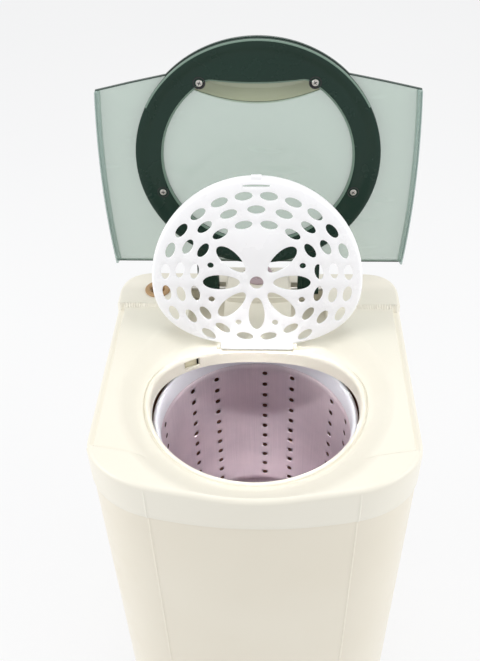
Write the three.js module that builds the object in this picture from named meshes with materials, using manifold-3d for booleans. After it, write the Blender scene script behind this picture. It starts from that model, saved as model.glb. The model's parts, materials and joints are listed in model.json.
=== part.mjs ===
// A laundry spin dryer with its lids open, in millimetres, +Z up and +Y to the back.
// While it is being built, z = 0 is the rim of the mouth and x = y = 0 is the mouth's centre.
// The finished group is then set down so that its origin is the bottom centre of its box.
import * as THREE from "three";
import { mergeVertices } from "three/addons/utils/BufferGeometryUtils.js";
import Module from "manifold-3d";

const wasm = await Module();
wasm.setup();

// ---- Driving sizes ---------------------------------------------------------------------

const fit_gap = 0.3; // between pieces that touch
const turn_gap = 0.4; // round a pin or shaft that turns in its bore
const cut_past = 5; // how far a cutter runs past the face it cuts
const round_sides = 36; // round pieces as wide as the tub
const small_sides = 12; // round pieces the size of a pin or a boss
const screw_sides = 8;

// Casing, seen from above: bowed front between two creases, straight sides, rounded corners.
const case_half_width = 165.5;
const case_back = 196;
const crease_x = 100;
const crease_y = -132.5;
const front_bow = 11.2;
const front_corner_depth = 70.5; // from the crease back to the straight side
const front_corner_lead = 38; // how far the front's line and the side's line
const front_corner_tail = 36; // lead into the corner's curve
const back_corner = 40;
const rim_height = 575; // floor to the rim of the mouth
const case_wall = 3;
const case_step = 1.5; // the casing stands this far inside the cover's skirt

// Top cover, heights from the rim of the mouth.
const cover_wall = 3;
const skirt_drop = 29.6;
const deck_height = 16.5; // front and back zones
const side_height = 12.6; // flats beside the dish, under the closed lid
const ledge_height = 6.5; // the outer step that the lid's flanges hang over
const ledge_width = 9;
const edge_round = 5;
const tongue_up = 20; // how far the casing reaches up inside the skirt
const tongue_down = 15;
const tongue_thick = 2.5;

// Mouth: a half circle in front, and a flatter curve at the back.
const mouth_radius = 110;
const mouth_back = 73;
const mouth_back_power = 2.25;
const collar_drop = 19;
const collar_wall = 3;
const bead_side = 8; // the low raised bead round the mouth
const bead_back = 5;
const bead_height = 1.2;
const dish_inner = 123;
const dish_outer = 140;

// Outer lid, as it lies closed.
const lid_half_back = 167;
const lid_half_middle = 170.5;
const lid_half_front = 165;
const lid_notch_x = 91.7;
const lid_back = 131.2; // rear edge behind the mouth's centre
const lid_corner_length = 208.5; // rear edge to the front corners
const lid_nose_past_ring = 0.9; // the round front edge, past the dark ring
const lid_thick = 3;
const lid_under = 15; // underside above the rim
const flange_drop = 6;
const flange_thick = 2.4;
const lid_clear = 1.5;
const lid_open = 91.8; // degrees from closed to open
const lid_axis_y = 169;
const lid_axis_z = 12;

// Dark frame under the outer lid: a ring with a straight front lip and two hinge arms.
const frame_outer = 129.9;
const frame_inner = 100.6;
const frame_step_clear = 1.6; // inside this much more than the inner lid the ring is thinner
const frame_thick = 6;
const frame_thin = 3.4;
const frame_lip = 85.6; // the lip's straight edge, in front of the mouth's centre
const arm_inner_x = 46.5;
const arm_width = 25;
const arm_thick = 9;
const arm_overlap = 32; // how far the arms run under the window
const knuckle_radius = 6.2;
const lid_pin_radius = 2.5;
const frame_screw_spots = [
  { x: 58, y: -85.7 },
  { x: 104.1, y: 37.5 },
];
const screw_head_radius = 3.6;
const screw_head_height = 1.6;
const screw_recess = 1.4;
const screw_shank_radius = 1.5;
const screw_hold = 1.6; // how far a frame screw reaches into the window
const screw_boss = 4.2; // the window's own material round a screw, where the hood is open

// Hood on the outer lid that the fingers go under.
const hood_half = 73;
const hood_back_y = -64.5;
const hood_end_y = -82;
const hood_front_y = -97;
const hood_height = 16;
const hood_wall = 2.2;
const hood_top_width = 0.86; // the top's share of the foot's width
const hood_top_depth = 0.6; // and of its depth
const hood_draw = 0.3; // how much of that is drawn in by half height

// Pockets for the hinge arms.
const pocket_inner_x = 39;
const pocket_outer_x = 80;
const pocket_front = 106;
const pocket_back = 176;
const pocket_floor = -10;
const pocket_wall = 2.5;

// Console between the pockets.
const console_half = 38;
const console_front = 140;
const console_back = 193;
const console_height = 29;
const console_draft = 3;

// Timer.
const knob_y = 172;
const knob_radius = 17.5;
const knob_height = 15;
const knob_taper = 2;
const knob_grip_height = 9;
const knob_grip_half = 4.5; // the grip's half width at its foot
const knob_grip_top = 3.4; // and at its top
const timer_shaft_radius = 3;
const timer_radius = 21;
const timer_depth = 24;

// Water inlet socket on the left of the back deck.
const inlet_x = -120;
const inlet_y = 160;
const inlet_outer = 12;
const inlet_bore = 8.5;
const inlet_flange = 15;
const inlet_flange_thick = 2.2;
const inlet_depth = 22;

// Inner lid, as it lies closed on the rim.
const disc_radius = 119.6; // its front, from the mouth's middle
const disc_half_width = 113.4;
const disc_back = 78.6;
const disc_back_power = 2.35;
const disc_thick = 2.2;
const disc_under = 1.6;
const disc_rim = 8;
const disc_rim_wall = 2;
const disc_axis_y = 77.8;
const disc_axis_z = 1.2;
const disc_open = 101;
const disc_barrel_radius = 3.6;
const disc_barrel_half = 40;
const disc_pin_radius = 1.6;
const lug_width = 4;
const lug_depth = 7;
const lug_height = 6;
const oval_long = 9.3; // half lengths of the oval holes
const oval_short = 4.65;
const disc_rings = [
  { radius: 98.5, count: 24, start: 7.5, back_limit: -25 },
  { radius: 83.4, count: 18, start: 10, back_limit: -52 },
  { radius: 67.7, count: 16, start: 11.25, back_limit: -90 },
];
const petal_count = 8;
const petal_inner = 18;
const petal_outer = 58;
const petal_half = 8.6;
const centre_hole = 7.4;
const dot_radius = 3.4;
const dot_ring = 53;
const dot_angles = [-67.5, -22.5, 22.5, 157.5, 202.5, 247.5];
const latch_half = 6;
const latch_reach = 2;
const disc_pattern_y = -1.9; // the holes' middle, from the mouth's
const hinge_pad = 2; // extra thickness under the inner lid's barrel
const dip_front = 6; // the barrel's dip is open to the mouth, past its back edge

// Lid switch behind its window in the mouth's wall.
const switch_x = -72;
const switch_turn = 27.1; // degrees that the wall there turns from the back
const window_half = 9;
const window_top = -3.5;
const window_bottom = -14;
const lever_half = 7;
const lever_thick = 2.5;
const lever_behind = 1; // from the wall to the lever
const lever_pin_radius = 1.2;
const lever_pin_back = 1.2; // from the lever's middle to its pin
const lever_eye_wall = 1.6;
const lever_foot = 2.5; // below the window
const cheek_gap = 0.6;
const cheek_thick = 2;
const cheek_above_pin = 3.5;
const switch_front = 10.5; // the body behind the lever, from the mouth's face
const switch_back = 15;

// Spin drum.
const drum_radius = 104; // inside
const drum_sheet = 1.2;
const drum_top = -50;
const drum_floor = -285;
const drum_ring_top = -25;
const drum_ring_inner = 103;
const drum_ring_outer = 110;
const drum_flange_radius = 109; // the shell's edge, turned out under the ring
const drum_pairs = 7;
const drum_pair_start = 4.8;
const drum_pair_angle = 18.6;
const drum_row_first = -66;
const drum_row_pitch = 18.6;
const drum_rows = 11;
const drum_hole_radius = 3.05;
const drum_hole_sides = 4;

// Tub.
const tub_radius = 117; // inside
const tub_wall = 2.5;
const tub_floor = drum_floor - 18;
const tub_boss_radius = 20;
const tub_boss_drop = 12;
const drain_x = -82;
const drain_bore = 9;
const drain_wall = 2.2;
const drain_spigot = 20;
const drain_bend = 34;
const pipe_sides = 10;

// Shaft, hub, brake and motor.
const shaft_radius = 6;
const hub_radius = 30;
const hub_thick = 4;
const hub_boss_radius = 12;
const hub_boss_drop = 12;
const nut_radius = 11;
const nut_height = 8;
const shaft_above_nut = 2.5;
const seal_outer = 17.5;
const brake_radius = 34;
const brake_height = 20;
const brake_rim = 4;
const brake_web = 5;
const brake_gap_above_motor = 13;
const shoe_thick = 5.5;
const shoe_arc = 20;
const brake_pivot = { x: 55, y: 25 };
const brake_pivot_radius = 3;
const lever_bar = 9;
const lever_eye = 6.5; // outer radius
const shoe_inset = 2; // the shoe, inside the brake drum's height
const bar_inset = 4; // and the bar, inside the shoe's
const motor_radius = 62;
const motor_height = 110;
const motor_shoulder = 12;
const motor_bore_floor = 20;
const motor_neck_radius = 40; // of the shoulder's raised middle, at its foot
const motor_neck_top = 36;
const plate_thick = 4;
const plate_margin = 6; // round the motor
const plate_ring = 84; // springs from the shaft
const plate_pad = 22;
const spring_count = 3;
const spring_height = 58;
const spring_radius = 12.5;
const spring_wire = 1.8;
const spring_curls = 4;
const spring_steps = 8;
const spring_wire_sides = 5;
const post_radius = 9;
const post_share = 0.36; // of the spring's height that each post fills

// Base pan and feet.
const foot_height = 14;
const foot_radius = 16;
const foot_flare = 2;
const foot_stem = 5;
const foot_head = 6.6;
const foot_head_height = 4;
const foot_x = 116;
const foot_front = -85;
const foot_rear = 150;
const pan_floor = 3;
const pan_rim = 28;
const vent_count = 5;
const vent_width = 5;
const vent_pitch = 12;
const vent_length = 60;

// Rear cover, cord gland, capacitor.
const hatch_half = 68;
const hatch_top = -330;
const hatch_bottom = -470;
const hatch_margin = 10;
const hatch_thick = 2;
const hatch_pad = 4;
const hatch_pad_margin = 4; // the pad behind the rear cover, past its edges
const gland_x = -110;
const gland_z = -512;
const gland_outer = 8;
const gland_bore = 3.6;
const gland_flange = 11;
const gland_flange_thick = 2.5;
const gland_depth = 14;
const cap_x = 118;
const cap_y = 45;
const cap_radius = 17;
const cap_height = 62;
const cap_clamp_wall = 2;
const cap_clamp_height = 14;
const spout_z = -500;
const spout_reach = 5; // beyond the casing's side

// ---- Worked out from the sizes ----------------------------------------------------------

const case_front = crease_y - front_bow;
const floor_z = -rim_height;
const pan_bottom = floor_z + foot_height;
const pan_top = pan_bottom + pan_floor;
const plate_top_z = pan_top + fit_gap + spring_height + fit_gap + plate_thick;
const motor_bottom = plate_top_z + fit_gap;
const motor_top = motor_bottom + motor_height;
const brake_bottom = motor_top + brake_gap_above_motor;
const degrees = THREE.MathUtils.degToRad;

// ---- Materials --------------------------------------------------------------------------

function material(color, roughness, metalness) {
  return new THREE.MeshStandardMaterial({ color, roughness, metalness });
}
const cream = material("#efe8d6", 0.3, 0);
const white = material("#f6f6f4", 0.35, 0);
const smoked = material("#aebfb4", 0.12, 0);
smoked.transparent = true;
smoked.opacity = 0.55;
const dark_green = material("#1f3130", 0.3, 0);
const steel = material("#b5b1b8", 0.3, 1);
const zinc = material("#c8c4c0", 0.35, 1);
const grey_plastic = material("#8d8f90", 0.45, 0);
const knob_plastic = material("#b9a9a8", 0.3, 0);
const tub_plastic = material("#d8d8d4", 0.45, 0);
const black_rubber = material("#1b1b1b", 0.8, 0);
const motor_paint = material("#4b5054", 0.5, 0.3);
const lining = material("#5a4030", 0.8, 0);
const tan_plastic = material("#a98a5f", 0.5, 0);

// ---- Making solids ----------------------------------------------------------------------

function solid(geometry) {
  const bare = geometry.clone();
  bare.deleteAttribute("normal");
  bare.deleteAttribute("uv");
  const merged = mergeVertices(bare, 1e-4);
  return new wasm.Manifold(
    new wasm.Mesh({
      numProp: 3,
      vertProperties: merged.attributes.position.array,
      triVerts: new Uint32Array(merged.index.array),
    }),
  );
}

function box(x0, x1, y0, y1, z0, z1) {
  const block = new THREE.BoxGeometry(x1 - x0, y1 - y0, z1 - z0);
  block.translate((x0 + x1) / 2, (y0 + y1) / 2, (z0 + z1) / 2);
  return solid(block);
}

function prism(outline, z0, z1, curveSegments = 12) {
  const shape = outline instanceof THREE.Shape ? outline : new THREE.Shape(outline);
  const block = new THREE.ExtrudeGeometry(shape, { depth: z1 - z0, bevelEnabled: false, curveSegments });
  block.translate(0, 0, z0);
  return solid(block);
}

// A turned piece about the z axis, from a closed profile of [radius, z] pairs.
function turned(profile, sides = round_sides) {
  const area = profile.reduce((sum, [r, z], i) => {
    const [nextR, nextZ] = profile[(i + 1) % profile.length];
    return sum + r * nextZ - nextR * z;
  }, 0);
  const points = (area > 0 ? profile : [...profile].reverse()).map(([r, z]) => new THREE.Vector2(r, z));
  points.push(points[0].clone());
  const body = new THREE.LatheGeometry(points, sides);
  body.rotateX(Math.PI / 2);
  return solid(body);
}

function cylinder(radius, z0, z1, sides = small_sides) {
  const body = new THREE.CylinderGeometry(radius, radius, z1 - z0, sides);
  body.rotateX(Math.PI / 2);
  body.translate(0, 0, (z0 + z1) / 2);
  return solid(body);
}

function cylinderX(radius, x0, x1, y, z, sides = small_sides) {
  const body = new THREE.CylinderGeometry(radius, radius, x1 - x0, sides);
  body.rotateZ(Math.PI / 2);
  body.translate((x0 + x1) / 2, y, z);
  return solid(body);
}

function cylinderY(radius, y0, y1, x, z, sides = small_sides) {
  const body = new THREE.CylinderGeometry(radius, radius, y1 - y0, sides);
  body.translate(x, (y0 + y1) / 2, z);
  return solid(body);
}

// Cutters whose flats, not corners, lie at the radius, so that a round pin fits in them.
function hole(radius, z0, z1, sides = small_sides) {
  return cylinder(radius / Math.cos(Math.PI / sides), z0, z1, sides);
}

function holeX(radius, x0, x1, y, z, sides = small_sides) {
  return cylinderX(radius / Math.cos(Math.PI / sides), x0, x1, y, z, sides);
}

function holeY(radius, y0, y1, x, z, sides = small_sides) {
  return cylinderY(radius / Math.cos(Math.PI / sides), y0, y1, x, z, sides);
}

// A closed skin through outlines with as many points each, one at each height.
function loft(levels) {
  const count = levels[0].points.length;
  const spots = levels.flatMap(({ z, points }) => points.map((p) => [p.x, p.y, z]));
  const faces = [];
  for (let level = 0; level + 1 < levels.length; level++) {
    for (let i = 0; i < count; i++) {
      const a = level * count + i;
      const b = level * count + ((i + 1) % count);
      faces.push(a, b, b + count, a, b + count, a + count);
    }
  }
  const caps = THREE.ShapeUtils.triangulateShape(levels[0].points, []);
  const last = (levels.length - 1) * count;
  for (const [a, b, c] of caps) faces.push(c, b, a, last + a, last + b, last + c);
  const skin = new THREE.BufferGeometry();
  skin.setAttribute("position", new THREE.Float32BufferAttribute(spots.flat(), 3));
  skin.setIndex(faces);
  return solid(skin);
}

function joined(...solids) {
  return solids.reduce((sum, one) => sum.add(one));
}

function bothSides(one) {
  return one.add(one.mirror([1, 0, 0]));
}

function geometryOf(body) {
  const { vertProperties, triVerts } = body.getMesh();
  const geometry = new THREE.BufferGeometry();
  geometry.setAttribute("position", new THREE.BufferAttribute(new Float32Array(vertProperties), 3));
  geometry.setIndex(new THREE.BufferAttribute(new Uint32Array(triVerts), 1));
  geometry.computeVertexNormals();
  return geometry;
}

const dryer = new THREE.Group();
dryer.name = "spin_dryer";

function place(name, body, finish, parent = dryer) {
  const mesh = new THREE.Mesh(geometryOf(body), finish);
  mesh.name = name;
  parent.add(mesh);
  return mesh;
}

// A group that swings about an axis along x; its pieces are built where they lie closed.
function swung(axisY, axisZ, angle) {
  const pivot = new THREE.Group();
  pivot.position.set(0, axisY, axisZ);
  pivot.rotation.x = -degrees(angle);
  const inside = new THREE.Group();
  inside.position.set(0, -axisY, -axisZ);
  pivot.add(inside);
  dryer.add(pivot);
  return inside;
}

// ---- Outlines ---------------------------------------------------------------------------

function caseOutline(inset) {
  const side = case_half_width - inset;
  const back = case_back - inset;
  const creaseY = crease_y + inset;
  const slope = (2 * front_bow) / crease_x;
  const sideY = crease_y + front_corner_depth;
  const leadX = crease_x + front_corner_lead;
  const leadY = creaseY + slope * front_corner_lead;
  const tailY = sideY - front_corner_tail;
  const rear = Math.max(back_corner - inset / 2, 2);
  const shape = new THREE.Shape();
  shape.moveTo(0, creaseY - front_bow);
  shape.quadraticCurveTo(crease_x / 2, creaseY - front_bow, crease_x, creaseY);
  shape.bezierCurveTo(leadX, leadY, side, tailY, side, sideY);
  shape.lineTo(side, back - rear);
  shape.quadraticCurveTo(side, back, side - rear, back);
  shape.lineTo(rear - side, back);
  shape.quadraticCurveTo(-side, back, -side, back - rear);
  shape.lineTo(-side, sideY);
  shape.bezierCurveTo(-side, tailY, -leadX, leadY, -crease_x, creaseY);
  shape.quadraticCurveTo(-crease_x / 2, creaseY - front_bow, 0, creaseY - front_bow);
  const points = shape.getPoints(6);
  if (points[0].distanceTo(points[points.length - 1]) < 1e-6) points.pop();
  return points;
}

function caseLevel(z, inset) {
  return { z, points: caseOutline(inset) };
}

function caseRing(outerInset, innerInset, z0, z1) {
  return loft([caseLevel(z0, outerInset), caseLevel(z1, outerInset)]).subtract(
    loft([caseLevel(z0 - cut_past, innerInset), caseLevel(z1 + cut_past, innerInset)]),
  );
}

// A half circle in front and half of a squarish oval at the back.
function roundFront(radius, back, power, steps = 12, half = radius) {
  const points = [];
  for (let i = 0; i < 2 * steps; i++) {
    const turn = Math.PI + (i * Math.PI) / (2 * steps);
    points.push(new THREE.Vector2(half * Math.cos(turn), radius * Math.sin(turn)));
  }
  for (let i = 0; i < 2 * steps; i++) {
    const turn = (i * Math.PI) / (2 * steps);
    const along = Math.cos(turn);
    const across = Math.sin(turn);
    const x = Math.sign(along) * Math.abs(along) ** (2 / power) * half;
    points.push(new THREE.Vector2(x, across ** (2 / power) * back));
  }
  return points;
}

function mouthOutline(grow, growBack = grow) {
  return roundFront(mouth_radius + grow, mouth_back + growBack, mouth_back_power);
}

function discOutline(grow) {
  return roundFront(disc_radius + grow, disc_back + grow, disc_back_power, 12, disc_half_width + grow);
}

// The closed outer lid from above, grown or shrunk all round.
function lidOutline(grow) {
  const cornerY = lid_back - lid_corner_length - grow;
  const nose = frame_outer + lid_nose_past_ring + grow;
  const notchX = lid_notch_x + grow;
  const notchY = -Math.sqrt(nose ** 2 - notchX ** 2);
  const noseTurn = Math.atan2(notchY, notchX);
  const middleX = 2 * (lid_half_middle + grow) - (lid_half_back + lid_half_front + 2 * grow) / 2;
  const middleY = lid_back - lid_corner_length / 2;
  const shape = new THREE.Shape();
  shape.moveTo(lid_half_back + grow, lid_back + grow);
  shape.lineTo(-lid_half_back - grow, lid_back + grow);
  shape.quadraticCurveTo(-middleX, middleY, -lid_half_front - grow, cornerY);
  shape.lineTo(-notchX, notchY);
  shape.absarc(0, 0, nose, -Math.PI - noseTurn, noseTurn, false);
  shape.lineTo(lid_half_front + grow, cornerY);
  shape.quadraticCurveTo(middleX, middleY, lid_half_back + grow, lid_back + grow);
  return shape;
}

// ---- Base pan and feet ------------------------------------------------------------------

const foot_spots = [
  [-foot_x, foot_front],
  [foot_x, foot_front],
  [-foot_x, foot_rear],
  [foot_x, foot_rear],
];

function springSpot(index) {
  const turn = Math.PI / 2 + (index * 2 * Math.PI) / spring_count;
  return [plate_ring * Math.cos(turn), plate_ring * Math.sin(turn)];
}

function basePan() {
  const rimInset = case_step + case_wall + fit_gap;
  const floor = loft([caseLevel(pan_bottom, case_step), caseLevel(pan_top, case_step)]);
  let pan = floor.add(caseRing(rimInset, rimInset + case_wall, pan_bottom + 1, pan_top + pan_rim));
  for (const [x, y] of foot_spots) {
    pan = pan.subtract(
      hole(foot_stem + fit_gap, pan_bottom - cut_past, pan_top + cut_past, screw_sides)
        .translate([x, y, 0]),
    );
  }
  for (let i = 0; i < spring_count; i++) {
    const [x, y] = springSpot(i);
    pan = pan.add(
      cylinder(post_radius, pan_bottom + 1, pan_top + spring_height * post_share).translate([x, y, 0]),
    );
  }
  const cupOuter = cap_radius + fit_gap + cap_clamp_wall;
  const cup = cylinder(cupOuter, pan_bottom + 1, pan_top + cap_clamp_height, 16).subtract(
    cylinder(cap_radius + 2 * fit_gap, pan_top, pan_top + 2 * cap_clamp_height, 16),
  );
  pan = pan.add(cup.translate([cap_x, cap_y, 0]));
  for (let i = 0; i < vent_count; i++) {
    const x = (i - (vent_count - 1) / 2) * vent_pitch;
    pan = pan.subtract(
      box(x - vent_width / 2, x + vent_width / 2, -vent_length / 2, vent_length / 2,
        pan_bottom - cut_past, pan_top + cut_past),
    );
  }
  place("base_pan", pan, grey_plastic);
}

function feet() {
  const stemTop = pan_top + fit_gap;
  foot_spots.forEach(([x, y], i) => {
    const foot = turned(
      [
        [0, floor_z],
        [foot_radius - foot_flare, floor_z],
        [foot_radius, floor_z + foot_flare],
        [foot_radius, pan_bottom - fit_gap],
        [foot_stem, pan_bottom - fit_gap],
        [foot_stem, stemTop],
        [foot_head, stemTop],
        [foot_stem - 1, stemTop + foot_head_height],
        [0, stemTop + foot_head_height],
      ],
      small_sides,
    );
    place(`foot_${i + 1}`, foot.translate([x, y, 0]), black_rubber);
  });
}

// ---- Casing -----------------------------------------------------------------------------

function hatchSpots() {
  const x = hatch_half + hatch_margin / 2;
  const spots = [];
  for (const z of [hatch_bottom - hatch_margin / 2, hatch_top + hatch_margin / 2]) {
    for (const side of [-1, 1]) spots.push([side * x, z]);
  }
  return spots;
}

function casing() {
  const wallBottom = pan_top + fit_gap;
  const wallTop = -skirt_drop - fit_gap;
  const outside = case_back - case_step;
  const inside = outside - case_wall;
  const tongueInset = cover_wall + fit_gap;
  const wall = caseRing(case_step, case_step + case_wall, wallBottom, wallTop);
  const tongue = caseRing(
    tongueInset, tongueInset + tongue_thick, wallTop - tongue_down, wallTop + tongue_up,
  );
  const padMargin = hatch_margin + hatch_pad_margin;
  const pad = box(
    -hatch_half - padMargin, hatch_half + padMargin,
    inside - hatch_pad, inside + 1,
    hatch_bottom - padMargin, hatch_top + padMargin,
  );
  let body = joined(wall, tongue, pad);
  const rebate = hatch_margin + fit_gap;
  body = body.subtract(
    box(-hatch_half - rebate, hatch_half + rebate, outside - hatch_thick - fit_gap, outside + cut_past,
      hatch_bottom - rebate, hatch_top + rebate),
  );
  body = body.subtract(
    box(-hatch_half, hatch_half, inside - hatch_pad - cut_past, outside + cut_past,
      hatch_bottom, hatch_top),
  );
  for (const [x, z] of hatchSpots()) {
    body = body.subtract(
      holeY(screw_shank_radius + fit_gap, inside - hatch_pad - cut_past, outside + cut_past,
        x, z, screw_sides),
    );
  }
  body = body.subtract(
    holeY(gland_outer + fit_gap, inside - cut_past, outside + cut_past, gland_x, gland_z),
  );
  const pipeOuter = drainPipeInner() + drain_wall;
  body = body.subtract(
    holeX(pipeOuter + fit_gap, -case_half_width - cut_past, -case_half_width + 4 * cut_past, 0, spout_z),
  );
  place("casing", body, cream);
}

function rearCover() {
  const outside = case_back - case_step;
  let plate = box(
    -hatch_half - hatch_margin, hatch_half + hatch_margin, outside - hatch_thick, outside,
    hatch_bottom - hatch_margin, hatch_top + hatch_margin,
  );
  for (const [x, z] of hatchSpots()) {
    plate = plate.subtract(
      holeY(screw_shank_radius + fit_gap, outside - 2 * cut_past, outside + cut_past, x, z, screw_sides),
    );
  }
  place("rear_cover", plate, cream);
  hatchSpots().forEach(([x, z], i) => {
    const under = outside + fit_gap;
    const inner = outside - case_wall - hatch_pad;
    const head = cylinderY(screw_head_radius, under, under + screw_head_height, x, z, screw_sides);
    const shank = cylinderY(screw_shank_radius, inner, under + 1, x, z, screw_sides);
    place(`rear_cover_screw_${i + 1}`, head.add(shank), zinc);
  });
}

function cordGland() {
  const outside = case_back - case_step;
  const body = turned(
    [
      [gland_bore, -gland_depth],
      [gland_outer, -gland_depth],
      [gland_outer, fit_gap],
      [gland_flange, fit_gap],
      [gland_flange - 1, fit_gap + gland_flange_thick],
      [gland_bore, fit_gap + gland_flange_thick],
    ],
    small_sides,
  );
  place("cord_gland", body.rotate([-90, 0, 0]).translate([gland_x, outside, gland_z]), black_rubber);
}

// ---- Top cover --------------------------------------------------------------------------

// Everything from the underside of the dish down to the end of the mouth's collar.
function dishBelow() {
  return turned([
    [0, -collar_drop],
    [tub_radius - 2, -collar_drop],
    [tub_radius - 2, -cover_wall],
    [dish_inner + 4, -cover_wall],
    [dish_outer + 4, side_height - cover_wall],
    [dish_outer + 4, deck_height],
    [0, deck_height],
  ]);
}

function dishAbove() {
  return turned([
    [0, 0],
    [dish_inner, 0],
    [dish_outer, side_height],
    [dish_outer, deck_height + cut_past],
    [0, deck_height + cut_past],
  ]);
}

function pocketBox(grow, top) {
  return box(
    pocket_inner_x - grow, pocket_outer_x + grow, pocket_front - grow, pocket_back + grow,
    pocket_floor - grow, top,
  );
}

function consoleBlock(inset, bottom) {
  const half = console_half - inset;
  const foot = [
    new THREE.Vector2(-half, console_front + inset),
    new THREE.Vector2(half, console_front + inset),
    new THREE.Vector2(half, console_back - inset),
    new THREE.Vector2(-half, console_back - inset),
  ];
  const top = foot.map((p) => {
    const atFront = p.y === console_front + inset;
    return new THREE.Vector2(p.x - Math.sign(p.x) * console_draft / 2, atFront ? p.y + console_draft : p.y);
  });
  return loft([
    { z: bottom, points: foot },
    { z: deck_height, points: foot },
    { z: console_height - inset, points: top },
  ]);
}

// A box placed by the lid switch: y runs out through the mouth's wall.
function atSwitch(one) {
  return one.rotate([0, 0, switch_turn]).translate([switch_x, switchY(), 0]);
}

function switchY() {
  const share = Math.abs(switch_x / mouth_radius) ** mouth_back_power;
  return mouth_back * (1 - share) ** (1 / mouth_back_power);
}

// The tub's edge stays clear of the pockets' floors.
function tubTop() {
  return pocket_floor - pocket_wall - fit_gap;
}

function lugInner() {
  return disc_barrel_half + 3 * fit_gap;
}

// From the inner lid's axis up to the top of its lugs.
function lugRise() {
  return lug_height / 2 + 1;
}

function lidLugs() {
  const inner = lugInner();
  return bothSides(
    box(inner, inner + lug_width, disc_axis_y - lug_depth / 2, disc_axis_y + lug_depth / 2,
      -cover_wall, disc_axis_z + lugRise()),
  );
}

function topCover() {
  const rounded = edge_round / 3;
  const outside = loft([
    caseLevel(-skirt_drop, 0),
    caseLevel(deck_height - edge_round, 0),
    caseLevel(deck_height - rounded, rounded),
    caseLevel(deck_height, edge_round),
  ]);
  const hollow = loft([
    caseLevel(-skirt_drop - cut_past, cover_wall),
    caseLevel(ledge_height - cover_wall, cover_wall),
  ]);
  const upperHollow = loft([
    caseLevel(0, ledge_width + cover_wall),
    caseLevel(side_height - cover_wall, ledge_width + cover_wall),
  ]);
  const pocketWalls = bothSides(pocketBox(pocket_wall, deck_height));
  let cavity = joined(hollow, upperHollow, consoleBlock(cover_wall, 0));
  cavity = cavity.subtract(dishBelow()).subtract(pocketWalls);
  let body = joined(outside, consoleBlock(0, deck_height - edge_round)).subtract(cavity);

  // The lid lies in a recess, and its flanges hang over a step along each side.
  const above = deck_height + cut_past;
  body = body.subtract(prism(lidOutline(lid_clear), side_height, above, 10).subtract(
    box(-console_half, console_half, console_front, case_back, 0, above)));
  const ledgeX = case_half_width - ledge_width;
  const ledgeFront = lid_back - lid_corner_length - lid_clear;
  body = body.subtract(
    bothSides(box(ledgeX, case_half_width + cut_past, ledgeFront, lid_back + lid_clear, ledge_height, above)),
  );
  body = body.subtract(
    dishAbove().subtract(box(-console_half, console_half, console_front, case_back, 0, above)),
  );
  body = body.add(prism(mouthOutline(bead_side, bead_back), -1, bead_height));
  body = body.subtract(prism(mouthOutline(0), -collar_drop - cut_past, above));

  // Under the flat back of the mouth the cover is hollow.
  const shelf = prism(circlePoints(mouth_radius + 2), -collar_drop - cut_past, -cover_wall - 1);
  const shelfHollow = shelf.subtract(
    prism(mouthOutline(collar_wall), -collar_drop - 2 * cut_past, above),
  );
  const dipDepth = disc_barrel_radius + 1;
  const dipHalf = disc_barrel_half + 3 * fit_gap;
  const hingePad = box(
    -dipHalf - lug_width, dipHalf + lug_width, disc_axis_y - dipDepth - hinge_pad,
    disc_axis_y + dipDepth + hinge_pad, disc_axis_z - dipDepth - hinge_pad, 0,
  );
  body = body.subtract(shelfHollow.subtract(pocketWalls).subtract(hingePad));

  // A round rib stands on the tub's edge.
  const ribBottom = tubTop() + fit_gap;
  const rib = turned([
    [tub_radius, ribBottom],
    [tub_radius + tub_wall, ribBottom],
    [tub_radius + tub_wall, -cover_wall + 1],
    [tub_radius, -cover_wall + 1],
  ]);
  body = body.add(rib);

  body = body.subtract(bothSides(pocketBox(0, above)));
  const pinBore = holeX(
    lid_pin_radius + turn_gap, pocket_inner_x - 2 * pocket_wall, pocket_outer_x + 2 * pocket_wall,
    lid_axis_y, lid_axis_z,
  );
  body = body.subtract(bothSides(pinBore));
  body = body.subtract(
    box(-dipHalf, dipHalf, mouth_back - dip_front, disc_axis_y + dipDepth, disc_axis_z - dipDepth, above),
  );
  body = body.add(lidLugs());
  body = body.subtract(
    holeX(disc_pin_radius + turn_gap, -disc_barrel_half - 2 * lug_width, disc_barrel_half + 2 * lug_width,
      disc_axis_y, disc_axis_z, screw_sides),
  );
  body = body.subtract(
    atSwitch(box(-window_half, window_half, -collar_wall, 2 * collar_wall, window_bottom, window_top)),
  );
  body = body.subtract(
    hole(timer_shaft_radius + turn_gap, 0, console_height + cut_past, screw_sides).translate([0, knob_y, 0]),
  );
  body = body.subtract(
    hole(inlet_outer + fit_gap, -cut_past, above, 20).translate([inlet_x, inlet_y, 0]),
  );
  place("top_cover", body, cream);
}

function circlePoints(radius, sides = round_sides) {
  const points = [];
  for (let i = 0; i < sides; i++) {
    const turn = (i * 2 * Math.PI) / sides;
    points.push(new THREE.Vector2(radius * Math.cos(turn), radius * Math.sin(turn)));
  }
  return points;
}

function waterInlet() {
  const body = turned(
    [
      [inlet_bore, -inlet_depth],
      [inlet_outer, -inlet_depth],
      [inlet_outer, fit_gap],
      [inlet_flange, fit_gap],
      [inlet_flange - 1, fit_gap + inlet_flange_thick],
      [inlet_bore, fit_gap + inlet_flange_thick],
    ],
    20,
  );
  place("water_inlet", body.translate([inlet_x, inlet_y, deck_height]), tan_plastic);
}

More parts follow.
